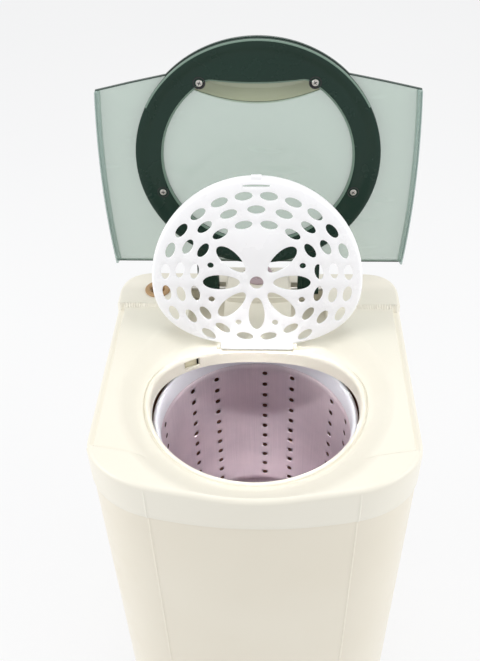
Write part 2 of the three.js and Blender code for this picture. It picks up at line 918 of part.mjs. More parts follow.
function timer() {
  const top = console_height - cover_wall - fit_gap;
  const ring = turned(
    [
      [timer_shaft_radius + turn_gap, top - timer_depth],
      [timer_radius, top - timer_depth],
      [timer_radius, top],
      [timer_shaft_radius + turn_gap, top],
    ],
    20,
  );
  const trimmed = ring.intersect(
    box(-pocket_inner_x + pocket_wall + 1, pocket_inner_x - pocket_wall - 1,
      console_front + cover_wall + 1, console_back - cover_wall - 1, -2 * timer_depth, top)
      .translate([0, -knob_y, 0]),
  );
  place("timer_body", trimmed.translate([0, knob_y, 0]), white);
  const knobBottom = console_height + fit_gap;
  const knobTop = knobBottom + knob_height;
  const dial = turned(
    [
      [0, knobBottom],
      [knob_radius, knobBottom],
      [knob_radius - knob_taper, knobTop - knob_grip_height],
      [0, knobTop - knob_grip_height],
    ],
    24,
  );
  const grip = loft([
    { z: knobTop - knob_grip_height - 1, points: gripOutline(knob_radius - knob_taper - 1, knob_grip_half) },
    { z: knobTop, points: gripOutline(knob_radius - knob_taper - 2.5, knob_grip_top) },
  ]);
  const socketTop = knobBottom + knob_grip_height;
  const socket = hole(timer_shaft_radius + fit_gap, knobBottom - cut_past, socketTop, screw_sides);
  place("timer_knob", dial.add(grip).subtract(socket).translate([0, knob_y, 0]), knob_plastic);
  const shaft = cylinder(timer_shaft_radius, top - timer_depth + 1, socketTop - fit_gap, screw_sides);
  place("timer_shaft", shaft.translate([0, knob_y, 0]), zinc);
}

function gripOutline(half, width) {
  const corners = [[-1, -1], [1, -1], [1, 1], [-1, 1]];
  return corners.map(([across, along]) => new THREE.Vector2(across * width, along * half));
}

// ---- Outer lid --------------------------------------------------------------------------

function frameScrewSpots() {
  return frame_screw_spots.flatMap(({ x, y }) => [{ x: -x, y }, { x, y }]);
}

function hoodOutline(grow) {
  const shape = new THREE.Shape();
  const half = hood_half + grow;
  shape.moveTo(-half, hood_end_y);
  shape.quadraticCurveTo(0, 2 * (hood_front_y - grow) - hood_end_y, half, hood_end_y);
  shape.quadraticCurveTo(0, 2 * (hood_back_y + grow) - hood_end_y, -half, hood_end_y);
  return shape;
}

function hoodShell(grow, height) {
  const foot = hoodOutline(grow).getPoints(8);
  if (foot[0].distanceTo(foot[foot.length - 1]) < 1e-6) foot.pop();
  const top = foot.map(
    (p) => new THREE.Vector2(p.x * hood_top_width, hood_end_y + (p.y - hood_end_y) * hood_top_depth),
  );
  return loft([
    { z: lid_under + lid_thick / 2, points: foot },
    { z: lid_under + lid_thick + height / 2, points: foot.map((p, i) => p.clone().lerp(top[i], hood_draw)) },
    { z: lid_under + lid_thick + height, points: top },
  ]);
}

function lidWindow(parent) {
  const top = lid_under + lid_thick;
  const outer = lidOutline(0);
  let plate = prism(outer, lid_under, top, 10);
  const sideBand = prism(outer, lid_under - flange_drop, top, 10).subtract(
    prism(lidOutline(-flange_thick), lid_under - flange_drop - 1, top + 1, 10),
  );
  const sides = bothSides(
    box(lid_half_front - flange_thick - 1, lid_half_middle + 1,
      lid_back - lid_corner_length + flange_thick + 0.1, lid_back - flange_thick - 0.1,
      lid_under - flange_drop - 1, lid_under + 1),
  );
  plate = plate.add(sideBand.intersect(sides));
  plate = plate.add(hoodShell(hood_wall, hood_height));
  plate = plate.subtract(hoodShell(0, hood_height - hood_wall));
  plate = plate.subtract(prism(hoodOutline(0), lid_under - 1, lid_under + lid_thick, 8));
  for (const { x, y } of frameScrewSpots()) {
    plate = plate.add(cylinder(screw_boss, lid_under, top).translate([x, y, 0]));
    const screwHole = hole(
      screw_shank_radius + fit_gap, lid_under - 1, lid_under + screw_hold + fit_gap, screw_sides,
    );
    plate = plate.subtract(screwHole.translate([x, y, 0]));
  }
  place("lid_window", plate, smoked, parent);
}

function lidFrame(parent) {
  const top = lid_under - fit_gap;
  const bottom = top - frame_thick;
  let ring = cylinder(frame_outer, bottom, top, round_sides);
  ring = ring.subtract(cylinder(disc_radius + frame_step_clear, bottom - 1, top - frame_thin, round_sides));
  const middle = cylinder(frame_inner, bottom - 1, top + 1, round_sides).intersect(
    box(-frame_outer, frame_outer, -frame_lip, frame_outer, bottom - 2, top + 2),
  );
  ring = ring.subtract(middle);
  // The arms run back from the ring to the knuckles, clear of the window's rear edge.
  const armOuter = arm_inner_x + arm_width;
  const armFront = lid_back - arm_overlap;
  const arm = box(arm_inner_x, armOuter, armFront, lid_axis_y, bottom, top);
  const heel = box(arm_inner_x, armOuter, lid_back + 1, lid_axis_y, top - arm_thick, top);
  const knuckle = cylinderX(knuckle_radius, arm_inner_x, armOuter, lid_axis_y, lid_axis_z);
  const bore = holeX(
    lid_pin_radius + turn_gap, arm_inner_x - cut_past, armOuter + cut_past, lid_axis_y, lid_axis_z,
  );
  let frame = ring.add(bothSides(joined(arm, heel, knuckle))).subtract(bothSides(bore));
  const seat = top - frame_thin + screw_recess;
  for (const { x, y } of frameScrewSpots()) {
    const recess = cylinder(screw_head_radius + 1, bottom - 1, seat, small_sides);
    const through = hole(screw_shank_radius + fit_gap, bottom, top + 1, screw_sides);
    frame = frame.subtract(recess.add(through).translate([x, y, 0]));
  }
  place("lid_frame", frame, dark_green, parent);
  frameScrewSpots().forEach(({ x, y }, i) => {
    const headTop = seat - fit_gap;
    const head = cylinder(screw_head_radius, headTop - screw_head_height, headTop, small_sides);
    const shank = cylinder(screw_shank_radius, headTop - 1, lid_under + screw_hold, screw_sides);
    place(`lid_screw_${i + 1}`, head.add(shank).translate([x, y, 0]), zinc, parent);
  });
}

function lidPins() {
  for (const [side, sign] of [["left", -1], ["right", 1]]) {
    const from = pocket_inner_x - pocket_wall + fit_gap;
    const to = pocket_outer_x + pocket_wall - fit_gap;
    const pin = cylinderX(lid_pin_radius, from, to, lid_axis_y, lid_axis_z);
    place(`lid_hinge_pin_${side}`, sign < 0 ? pin.mirror([1, 0, 0]) : pin, zinc);
  }
}

// ---- Inner lid --------------------------------------------------------------------------

// Points of an ellipse, long way round the disc, at a turn counted from +x through the front.
function ovalAt(radius, angle, long, short, sides) {
  const turn = degrees(angle);
  const middle = new THREE.Vector2(radius * Math.cos(turn), -radius * Math.sin(turn));
  const points = [];
  for (let i = 0; i < sides; i++) {
    const a = (i * 2 * Math.PI) / sides;
    const point = new THREE.Vector2(short * Math.cos(a), long * Math.sin(a));
    points.push(point.rotateAround(new THREE.Vector2(), -turn).add(middle));
  }
  return points;
}

function discHoles() {
  const low = disc_under - 1;
  const high = disc_under + disc_thick + 1;
  const holes = [];
  for (const { radius, count, start, back_limit } of disc_rings) {
    for (let i = 0; i < count; i++) {
      const angle = start + (i * 360) / count;
      const right = angle >= 270 ? angle - 360 : angle;
      const below = angle > 90 && angle < 270 ? 180 - angle : right;
      if (below > back_limit) holes.push(prism(ovalAt(radius, angle, oval_long, oval_short, 8), low, high));
    }
  }
  for (let i = 0; i < petal_count; i++) {
    const angle = (i * 360) / petal_count;
    if (angle === 90) continue;
    const half = (petal_outer - petal_inner) / 2;
    holes.push(prism(ovalAt(petal_inner + half, angle, petal_half, half, 12), low, high));
  }
  for (const angle of dot_angles) {
    holes.push(prism(ovalAt(dot_ring, angle, dot_radius, dot_radius, 8), low, high));
  }
  holes.push(cylinder(centre_hole, low, high, 12));
  return holes.map((one) => one.translate([0, disc_pattern_y, 0]));
}

function innerLid() {
  const parent = swung(disc_axis_y, disc_axis_z, disc_open);
  const top = disc_under + disc_thick;
  let disc = prism(discOutline(0), disc_under, disc_under + disc_rim).subtract(
    prism(discOutline(-disc_rim_wall), top, disc_under + disc_rim + 1),
  );
  disc = wasm.Manifold.difference([disc, ...discHoles()]);
  const rimGap = box(
    -lugInner(), lugInner(), disc_axis_y - disc_barrel_radius - 2, disc_back + 1,
    top, disc_under + disc_rim + 1,
  );
  const pastAxis = box(
    -lugInner(), lugInner(), disc_axis_y + disc_barrel_radius / 2, disc_back + 1, disc_under - 1, top + 1,
  );
  disc = disc.subtract(rimGap).subtract(pastAxis);
  const neck = box(
    -disc_barrel_half, disc_barrel_half, disc_axis_y - disc_barrel_radius - 1, disc_axis_y, disc_under, top,
  );
  const barrel = cylinderX(disc_barrel_radius, -disc_barrel_half, disc_barrel_half, disc_axis_y, disc_axis_z);
  const tab = box(-latch_half, latch_half, -disc_radius - latch_reach, -disc_radius + 2, disc_under, top);
  const lugReach = Math.hypot(lug_depth / 2, lugRise()) + 2 * fit_gap;
  const lugRoom = cylinderX(
    lugReach, disc_barrel_half, lugInner() + lug_width + 3 * fit_gap, disc_axis_y, disc_axis_z, 24,
  );
  const bore = holeX(
    disc_pin_radius + turn_gap, -disc_barrel_half - 1, disc_barrel_half + 1,
    disc_axis_y, disc_axis_z, screw_sides,
  );
  disc = joined(disc, neck, barrel, tab).subtract(bore).subtract(bothSides(lugRoom));
  place("inner_lid", disc, white, parent);
  const pinHalf = lugInner() + lug_width - fit_gap;
  place(
    "inner_lid_pin",
    cylinderX(disc_pin_radius, -pinHalf, pinHalf, disc_axis_y, disc_axis_z, screw_sides),
    zinc,
  );
}

// ---- Lid switch -------------------------------------------------------------------------

function lidSwitch() {
  const leverTop = window_top - 1;
  const leverY = collar_wall + lever_behind;
  const pinY = leverY + lever_thick / 2 + lever_pin_back;
  const pinZ = window_bottom - lever_pin_radius;
  const flap = box(
    -lever_half, lever_half, leverY, leverY + lever_thick, window_bottom - lever_foot, leverTop,
  );
  const eye = cylinderX(lever_pin_radius + lever_eye_wall, -lever_half, lever_half, pinY, pinZ, screw_sides);
  const bore = holeX(lever_pin_radius + turn_gap, -lever_half - 1, lever_half + 1, pinY, pinZ, screw_sides);
  place("switch_lever", atSwitch(flap.add(eye).subtract(bore)), tan_plastic);
  const cheekOut = lever_half + cheek_gap + cheek_thick;
  const bottom = -collar_drop + 1;
  const base = box(
    -cheekOut, cheekOut, switch_front, switch_back, bottom, -cover_wall - 1 - fit_gap,
  );
  const cheeks = bothSides(
    box(cheekOut - cheek_thick, cheekOut, pinY - lever_pin_back, switch_front + 0.5,
      bottom, pinZ + cheek_above_pin),
  );
  const pin = cylinderX(lever_pin_radius, -cheekOut + 0.5, cheekOut - 0.5, pinY, pinZ, screw_sides);
  place("switch_body", atSwitch(joined(base, cheeks, pin)), black_rubber);
}

// ---- Drum -------------------------------------------------------------------------------

function drumHoles() {
  const holes = [];
  for (let pair = 0; pair < drum_pairs; pair++) {
    for (const side of [0, 1]) {
      const turn = drum_pair_start + side * drum_pair_angle + (pair * 360) / drum_pairs;
      for (let row = 0; row < drum_rows; row++) {
        const z = drum_row_first - row * drum_row_pitch;
        const hole = cylinderY(drum_hole_radius, drum_radius - 3, drum_radius + 4, 0, z, drum_hole_sides);
        holes.push(hole.rotate([0, 0, -turn]));
      }
    }
  }
  return holes;
}

function drum() {
  const outer = drum_radius + drum_sheet;
  const edge = drum_top - fit_gap;
  const shell = turned(
    [
      [shaft_radius + fit_gap, drum_floor],
      [outer, drum_floor],
      [outer, edge - drum_sheet],
      [drum_flange_radius, edge - drum_sheet],
      [drum_flange_radius, edge],
      [drum_radius, edge],
      [drum_radius, drum_floor + drum_sheet],
      [shaft_radius + fit_gap, drum_floor + drum_sheet],
    ],
    round_sides,
  );
  place("spin_drum", wasm.Manifold.difference([shell, ...drumHoles()]), steel);
  const ring = turned([
    [drum_ring_inner, drum_top],
    [drum_ring_outer, drum_top],
    [drum_ring_outer, drum_ring_top - 2],
    [drum_ring_outer - 2, drum_ring_top],
    [drum_ring_inner + 2, drum_ring_top],
    [drum_ring_inner, drum_ring_top - 3],
  ]);
  place("drum_ring", ring, white);
}

function driveTrain() {
  const bore = shaft_radius + fit_gap;
  const hubTop = drum_floor - fit_gap;
  const hub = turned(
    [
      [bore, hubTop - hub_thick - hub_boss_drop],
      [hub_boss_radius, hubTop - hub_thick - hub_boss_drop],
      [hub_boss_radius, hubTop - hub_thick],
      [hub_radius, hubTop - hub_thick],
      [hub_radius, hubTop],
      [bore, hubTop],
    ],
    24,
  );
  place("drum_hub", hub, zinc);
  const nutBottom = drum_floor + drum_sheet + fit_gap;
  const nut = cylinder(nut_radius, nutBottom, nutBottom + nut_height, 6).subtract(
    hole(bore, nutBottom - 1, nutBottom + nut_height + 1),
  );
  place("drum_nut", nut, zinc);
  const shaftTop = nutBottom + nut_height + shaft_above_nut;
  const shaftBottom = motor_bottom + motor_bore_floor + fit_gap;
  place("drive_shaft", cylinder(shaft_radius, shaftBottom, shaftTop), zinc);
  const brake = turned(
    [
      [bore, brake_bottom],
      [brake_radius, brake_bottom],
      [brake_radius, brake_bottom + brake_height],
      [brake_radius - brake_rim, brake_bottom + brake_height],
      [brake_radius - brake_rim, brake_bottom + brake_web],
      [hub_boss_radius, brake_bottom + brake_web],
      [hub_boss_radius, brake_bottom + brake_height],
      [bore, brake_bottom + brake_height],
    ],
    24,
  );
  place("brake_drum", brake, zinc);
}

function brakeLever() {
  const low = brake_bottom + shoe_inset;
  const high = brake_bottom + brake_height - shoe_inset;
  const barLow = low + bar_inset;
  const barHigh = high - bar_inset;
  const atPivot = [brake_pivot.x, brake_pivot.y, 0];
  const inner = brake_radius + 2 * fit_gap;
  const outer = inner + shoe_thick;
  const arc = new THREE.Shape();
  arc.absarc(0, 0, outer, -degrees(shoe_arc), degrees(shoe_arc), false);
  arc.absarc(0, 0, inner, degrees(shoe_arc), -degrees(shoe_arc), true);
  const shoe = prism(arc, low, high, 8);
  const along = Math.atan2(brake_pivot.y, brake_pivot.x - outer + 2);
  const reach = Math.hypot(brake_pivot.x - outer + 2, brake_pivot.y);
  const bar = box(0, reach, -lever_bar / 2, lever_bar / 2, barLow, barHigh)
    .rotate([0, 0, THREE.MathUtils.radToDeg(along)])
    .translate([outer - 2, 0, 0]);
  const eye = cylinder(lever_eye, barLow, barHigh).translate(atPivot);
  const bore = hole(brake_pivot_radius + turn_gap, low - 1, high + 1).translate(atPivot);
  place("brake_lever", joined(shoe, bar, eye).subtract(bore), lining);
  const post = turned(
    [
      [0, motor_top - motor_shoulder + fit_gap],
      [lever_eye, motor_top - motor_shoulder + fit_gap],
      [lever_eye, barLow - fit_gap],
      [brake_pivot_radius, barLow - fit_gap],
      [brake_pivot_radius, high],
      [0, high],
    ],
    small_sides,
  );
  place("brake_pivot", post.translate(atPivot), zinc);
}

// ---- Motor on its springs ---------------------------------------------------------------

function motor() {
  const plateBottom = plate_top_z - plate_thick;
  let plate = cylinder(motor_radius + plate_margin, plateBottom, plate_top_z, 32);
  for (let i = 0; i < spring_count; i++) {
    const [x, y] = springSpot(i);
    const pad = cylinder(plate_pad, plateBottom, plate_top_z, small_sides);
    const postEnd = plateBottom - spring_height * post_share;
    const post = cylinder(post_radius, postEnd, plateBottom + 1, small_sides);
    plate = plate.add(pad.add(post).translate([x, y, 0]));
  }
  place("motor_plate", plate, zinc);
  const shell = turned([
    [0, motor_bottom],
    [motor_radius, motor_bottom],
    [motor_radius, motor_top - motor_shoulder],
    [motor_neck_radius, motor_top - motor_shoulder],
    [motor_neck_top, motor_top],
    [shaft_radius + turn_gap, motor_top],
    [shaft_radius + turn_gap, motor_bottom + motor_bore_floor],
    [0, motor_bottom + motor_bore_floor],
  ], 32);
  place("motor", shell, motor_paint);
}

// A helix that stands between its two seats, with its ends one wire inside them.
class SpringLine extends THREE.Curve {
  getPoint(t) {
    const turn = t * spring_curls * 2 * Math.PI;
    const rise = spring_wire + t * (spring_height - 2 * spring_wire);
    return new THREE.Vector3(spring_radius * Math.cos(turn), spring_radius * Math.sin(turn), rise);
  }
}

function springs() {
  const wire = new THREE.Shape(circlePoints(spring_wire, spring_wire_sides));
  const coil = new THREE.ExtrudeGeometry(wire, {
    steps: spring_curls * spring_steps,
    extrudePath: new SpringLine(),
    bevelEnabled: false,
  });
  const body = solid(coil);
  for (let i = 0; i < spring_count; i++) {
    const [x, y] = springSpot(i);
    place(`spring_${i + 1}`, body.translate([x, y, pan_top + fit_gap]), zinc);
  }
  const line = new SpringLine();
  let least = Infinity;
  const samples = spring_curls * spring_steps;
  for (let i = 0; i <= samples; i++) {
    for (let j = i + spring_steps / 2; j <= samples; j++) {
      const gap = line.getPoint(i / samples).distanceTo(line.getPoint(j / samples));
      least = Math.min(least, gap - 2 * spring_wire);
    }
  }
  console.log("least gap of a spring to itself", least.toFixed(2), "mm");
}

function capacitor() {
  const low = pan_top + fit_gap;
  const can = turned(
    [
      [0, low],
      [cap_radius - 1, low],
      [cap_radius, low + 1],
      [cap_radius, low + cap_height - 1],
      [cap_radius - 1, low + cap_height],
      [0, low + cap_height],
    ],
    20,
  );
  place("capacitor", can.translate([cap_x, cap_y, 0]), white);
}

// ---- Tub and drain ----------------------------------------------------------------------

function tub() {
  const top = tubTop();
  const outer = tub_radius + tub_wall;
  const under = tub_floor - tub_wall;
  let body = turned([
    [seal_outer + fit_gap, under - tub_boss_drop],
    [tub_boss_radius + 1, under - tub_boss_drop],
    [tub_boss_radius + 1, under],
    [outer, under],
    [outer, top],
    [tub_radius, top],
    [tub_radius, tub_floor],
    [seal_outer + fit_gap, tub_floor],
  ]);
  const spigot = cylinder(drain_bore + drain_wall, under - drain_spigot, under + 1)
    .translate([drain_x, 0, 0]);
  const bore = cylinder(drain_bore, under - drain_spigot - 1, tub_floor + 1).translate([drain_x, 0, 0]);
  body = body.add(spigot).subtract(bore);
  place("water_tub", body, tub_plastic);
  const seal = turned(
    [
      [shaft_radius + turn_gap, under - tub_boss_drop],
      [seal_outer, under - tub_boss_drop],
      [seal_outer, tub_floor],
      [hub_boss_radius + 2, tub_floor + 1],
      [shaft_radius + turn_gap, under - tub_boss_drop + 3],
    ],
    24,
  );
  place("tub_seal", seal, black_rubber);
}

function drainPipeInner() {
  return (drain_bore + drain_wall + fit_gap) / Math.cos(Math.PI / pipe_sides);
}

function drainPipe() {
  const inner = drainPipeInner();
  const outer = inner + drain_wall;
  const section = new THREE.Shape(circlePoints(outer, pipe_sides));
  section.holes.push(new THREE.Path(circlePoints(inner, pipe_sides)));
  const top = tub_floor - tub_wall - fit_gap;
  const route = new THREE.CurvePath();
  const corner = new THREE.Vector3(drain_x, 0, spout_z);
  const before = new THREE.Vector3(drain_x, 0, spout_z + drain_bend);
  const after = new THREE.Vector3(drain_x - drain_bend, 0, spout_z);
  route.add(new THREE.LineCurve3(new THREE.Vector3(drain_x, 0, top), before));
  route.add(new THREE.QuadraticBezierCurve3(before, corner, after));
  const end = new THREE.Vector3(-case_half_width - spout_reach, 0, spout_z);
  route.add(new THREE.LineCurve3(after, end));
  const pipe = new THREE.ExtrudeGeometry(section, {
    steps: 16,
    extrudePath: route,
    bevelEnabled: false,
  });
  place("drain_pipe", solid(pipe), black_rubber);
}

// ---- Assembly ---------------------------------------------------------------------------

basePan();
feet();
casing();
rearCover();
cordGland();
topCover();
waterInlet();
timer();
const outerLid = swung(lid_axis_y, lid_axis_z, lid_open);
lidWindow(outerLid);
lidFrame(outerLid);
lidPins();
innerLid();
lidSwitch();
drum();
driveTrain();
brakeLever();
motor();
springs();
capacitor();
tub();
drainPipe();

dryer.updateMatrixWorld(true);
const bounds = new THREE.Box3().setFromObject(dryer, true);
const middle = bounds.getCenter(new THREE.Vector3());
dryer.position.set(-middle.x, -middle.y, -bounds.min.z);
console.log("origin shift", dryer.position.toArray().map((v) => v.toFixed(3)).join(" "));
console.log("box", bounds.getSize(new THREE.Vector3()).toArray().map((v) => v.toFixed(2)).join(" x "));

export default dryer;
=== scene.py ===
import json
import math
from contextlib import contextmanager

import bmesh
import bpy
from mathutils import Matrix, Vector
from mathutils.geometry import delaunay_2d_cdt


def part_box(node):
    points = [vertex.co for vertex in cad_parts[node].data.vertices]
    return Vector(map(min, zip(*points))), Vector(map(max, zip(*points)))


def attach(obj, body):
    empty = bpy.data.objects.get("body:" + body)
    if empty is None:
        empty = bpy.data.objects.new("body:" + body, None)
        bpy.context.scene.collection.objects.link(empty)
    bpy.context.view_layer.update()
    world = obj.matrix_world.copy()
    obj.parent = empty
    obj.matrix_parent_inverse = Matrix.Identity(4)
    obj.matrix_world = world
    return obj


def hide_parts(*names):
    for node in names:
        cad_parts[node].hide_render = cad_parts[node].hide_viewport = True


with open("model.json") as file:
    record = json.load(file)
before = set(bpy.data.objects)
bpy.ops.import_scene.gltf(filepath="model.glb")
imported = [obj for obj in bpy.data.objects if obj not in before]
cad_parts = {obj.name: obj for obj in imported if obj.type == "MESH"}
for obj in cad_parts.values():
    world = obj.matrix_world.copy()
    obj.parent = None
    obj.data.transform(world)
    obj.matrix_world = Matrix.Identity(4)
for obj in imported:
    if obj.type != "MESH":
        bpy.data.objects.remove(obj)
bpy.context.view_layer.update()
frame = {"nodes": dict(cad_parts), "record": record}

# Sizes are in millimetres from the middle of the mouth at its rim, as in the part's own source.
MM = 0.001
RIM_ABOVE_RING = 25
ring_low, ring_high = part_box("drum_ring")
MOUTH = Vector((0, (ring_low[1] + ring_high[1]) / 2, ring_high[2] + RIM_ABOVE_RING * MM))

# ---- Sizes that the solids share --------------------------------------------------------

# The casing from above: its front bows out between two creases.
CASE_HALF, CASE_BACK, BACK_CORNER = 165.5, 196, 40
CREASE_X, CREASE_Y, FRONT_BOW = 100, -132.5, 11.2
SIDE_FRONT_Y = -62
CASE_STEP = 1.5
SKIRT_BOTTOM, CASING_BOTTOM = -29.6, -557.7
# The cover's heights: its deck, the recess and the side ledges under the outer lid, and the dish.
DECK, RECESS, LEDGE, DISH_FLOOR = 16.5, 12.6, 6.5, -1.6
RECESS_GAP = 2.2
LEDGE_X = CASE_HALF - 9
DISH_R, DISH_SLOPE = 117, 0.62
COVER_WALL, COVER_EDGE = 3.0, 5.0
# The mouth, its collar, and how far its rim rounds in, down and out to the bead.
MOUTH_R, MOUTH_BACK, MOUTH_POWER = 110, 73, 2.25
COLLAR_LOW, BEHIND_RIM = -19, -2.4
RIM_TOP, RIM_IN, RIM_DOWN, RIM_OUT = 1.2, 3.0, 5.6, 1.8
BEAD_SIDE, BEAD_BACK, BEAD_DROP = 5.8, 5.0, 2.2
# The outer lid as it lies shut: half widths at its back, middle and front, and its round nose.
LID_BACK, LID_FRONT_CORNER = 131.2, -77.3
LID_HALF_BACK, LID_HALF_MIDDLE, LID_HALF_FRONT = 167, 170.5, 165
LID_NOSE, LID_NOTCH_X = 130.2, 91.7
LID_LOW, LID_TOP = 15, 18
LID_AXIS, LID_OPEN = (169, 12), 91.8
# The inner lid as it lies shut, and the ears that hold its barrel.
DISC_AXIS, DISC_OPEN = (77.8, 1.2), 101
DISC_HALF, DISC_FRONT, DISC_BACK, DISC_POWER = 113.4, 119.6, 78.6, 2.35
SHOULDER_SIDE, SHOULDER_FRONT, SHOULDER_BACK = 4.6, 6.4, 3.6
DISC_LOW, DISC_TOP = 1.6, 3.8
DISC_PATTERN_Y = -1.9
BARREL_R, BARREL_HALF = 3.6, 40
EAR_IN, EAR_OUT, EAR_Y = 40.9, 44.9, (74.3, 81.3)
# What stands on the deck behind the mouth.
POCKET_X, POCKET_Y, POCKET_FLOOR = (39, 80), (106, 176), -10
INLET, INLET_HOLE = (-120, 160), 8.3
KNOB_Y = 172


def srgb(r, g, b):
    def linear(c):
        c /= 255
        return c / 12.92 if c <= 0.04045 else ((c + 0.055) / 1.055) ** 2.4

    return (linear(r), linear(g), linear(b), 1.0)


def smooth_step(low, high, v):
    t = min(max((v - low) / (high - low), 0), 1)
    return t * t * (3 - 2 * t)


def soft_max(a, b, k):
    h = max(k - abs(a - b), 0) / k
    return max(a, b) + h * h * k / 4


def soft_min(a, b, k):
    return -soft_max(-a, -b, k)


def polar(reach, angle, z):
    """A point by its reach from the z axis."""
    return (reach * math.cos(angle), reach * math.sin(angle), z)


def grown(reach, by):
    return [r + by for r in reach]


# ---- Shader node groups -----------------------------------------------------------------


def link(tree, out_socket, in_socket):
    tree.links.new(out_socket, in_socket)


def node(tree, kind, **settings):
    made = tree.nodes.new(kind)
    for name, value in settings.items():
        setattr(made, name, value)
    return made


def math_node(tree, operation, a, b=None, clamp=False):
    made = node(tree, "ShaderNodeMath", operation=operation, use_clamp=clamp)
    for socket, value in zip(made.inputs, (a, b)):
        if value is None:
            continue
        if isinstance(value, (int, float)):
            socket.default_value = value
        else:
            link(tree, value, socket)
    return made.outputs[0]


def plus(tree, a, b, clamp=False):
    return math_node(tree, "ADD", a, b, clamp)


def times(tree, a, b):
    return math_node(tree, "MULTIPLY", a, b)


def seen_directly(tree):
    """1 for rays from the camera, also where glass or a gloss passes them on."""
    path = node(tree, "ShaderNodeLightPath")
    shown = math_node(tree, "MAXIMUM", path.outputs["Is Camera Ray"], path.outputs["Is Glossy Ray"])
    return math_node(tree, "MAXIMUM", shown, path.outputs["Is Transmission Ray"])


def ramp(tree, value, low, high):
    """Maps a value from low..high to 0..1 smoothly."""
    made = node(tree, "ShaderNodeMapRange", interpolation_type="SMOOTHSTEP")
    made.inputs["From Min"].default_value = low
    made.inputs["From Max"].default_value = high
    link(tree, value, made.inputs["Value"])
    return made.outputs["Result"]


def noise(tree, vector, scale, detail=3.0, roughness=0.5):
    made = node(tree, "ShaderNodeTexNoise")
    made.inputs["Detail"].default_value = detail
    made.inputs["Roughness"].default_value = roughness
    if isinstance(scale, (int, float)):
        made.inputs["Scale"].default_value = scale
    else:
        link(tree, scale, made.inputs["Scale"])
    link(tree, vector, made.inputs["Vector"])
    return made.outputs["Fac"]


def new_group(name, inputs, outputs):
    tree = bpy.data.node_groups.new(name, "ShaderNodeTree")
    for label, value in inputs:
        kind = "NodeSocketColor" if isinstance(value, tuple) else "NodeSocketFloat"
        tree.interface.new_socket(label, in_out="INPUT", socket_type=kind).default_value = value
    for label, kind in outputs:
        tree.interface.new_socket(label, in_out="OUTPUT", socket_type=kind)
    start = tree.nodes.new("NodeGroupInput")
    end = tree.nodes.new("NodeGroupOutput")
    return tree, start.outputs, end.inputs


def moulding_group():
    """The faint orange peel and slow colour drift of a moulded plastic face."""
    tree, given, made = new_group(
        "Moulded skin",
        [("Peel size", 900.0), ("Drift", 0.04)],
        [("Height", "NodeSocketFloat"), ("Drift", "NodeSocketFloat")],
    )
    place = node(tree, "ShaderNodeTexCoord").outputs["Object"]
    link(tree, noise(tree, place, given["Peel size"], 2.0, 0.4), made["Height"])
    slow = math_node(tree, "SUBTRACT", noise(tree, place, 7.0, 2.0), 0.5)
    link(tree, times(tree, slow, given["Drift"]), made["Drift"])
    return tree


def handling_group():
    """Smudges and hair scratches that hands and cloths leave on a glossy face."""
    tree, given, made = new_group(
        "Handling marks",
        [("Smudge", 0.12), ("Scratch", 0.1)],
        [("Roughness", "NodeSocketFloat"), ("Scratches", "NodeSocketFloat")],
    )
    place = node(tree, "ShaderNodeTexCoord").outputs["Object"]
    smudge = ramp(tree, noise(tree, place, 26.0, 4.0, 0.6), 0.45, 0.72)
    stretch = node(tree, "ShaderNodeMapping")
    stretch.inputs["Rotation"].default_value = (0.4, 0.3, 0.7)
    stretch.inputs["Scale"].default_value = (14, 420, 60)
    link(tree, place, stretch.inputs["Vector"])
    hair = ramp(tree, noise(tree, stretch.outputs["Vector"], 1.0, 1.0), 0.70, 0.76)
    scratched = times(tree, hair, given["Scratch"])
    link(tree, scratched, made["Scratches"])
    rough = times(tree, smudge, given["Smudge"])
    link(tree, plus(tree, rough, scratched), made["Roughness"])
    return tree


def dust_group():
    """A thin film of dust that settles on faces that look up."""
    tree, given, made = new_group(
        "Settled dust", [("Amount", 0.1)], [("Mask", "NodeSocketFloat")]
    )
    facing = node(tree, "ShaderNodeSeparateXYZ")
    link(tree, node(tree, "ShaderNodeNewGeometry").outputs["Normal"], facing.inputs[0])
    up = ramp(tree, facing.outputs["Z"], 0.2, 0.95)
    place = node(tree, "ShaderNodeTexCoord").outputs["Object"]
    patch = ramp(tree, noise(tree, place, 42.0, 5.0, 0.65), 0.35, 0.8)
    lying = times(tree, up, patch)
    link(tree, times(tree, lying, given["Amount"]), made["Mask"])
    return tree


def brushed_group():
    """Fine lines that run up and down a turned wall, and round a disc."""
    tree, given, made = new_group(
        "Brushed lines",
        [("Lines per turn", 900.0), ("Centre x", 0.0), ("Centre y", 0.0)],
        [("Line", "NodeSocketFloat"), ("Cloud", "NodeSocketFloat")],
    )
    place = node(tree, "ShaderNodeTexCoord").outputs["Object"]
    apart = node(tree, "ShaderNodeSeparateXYZ")
    link(tree, place, apart.inputs[0])
    x = math_node(tree, "SUBTRACT", apart.outputs["X"], given["Centre x"])
    y = math_node(tree, "SUBTRACT", apart.outputs["Y"], given["Centre y"])
    turn = math_node(tree, "ARCTAN2", y, x)
    lines = times(tree, math_node(tree, "DIVIDE", turn, 2 * math.pi), given["Lines per turn"])
    flat = node(tree, "ShaderNodeCombineXYZ")
    link(tree, lines, flat.inputs["X"])
    link(tree, times(tree, apart.outputs["Z"], 9.0), flat.inputs["Y"])
    link(tree, noise(tree, flat.outputs[0], 1.0, 3.0, 0.7), made["Line"])
    link(tree, noise(tree, place, 18.0, 3.0), made["Cloud"])
    return tree


MOULDED = moulding_group()
HANDLED = handling_group()
DUSTED = dust_group()
BRUSHED = brushed_group()


def use_group(tree, group, **values):
    made = node(tree, "ShaderNodeGroup", node_tree=group)
    for label, value in values.items():
        made.inputs[label.replace("_", " ")].default_value = value
    return made.outputs


def new_material(name):
    made = bpy.data.materials.new(name)
    made.use_nodes = True
    return made, made.node_tree, made.node_tree.nodes["Principled BSDF"]


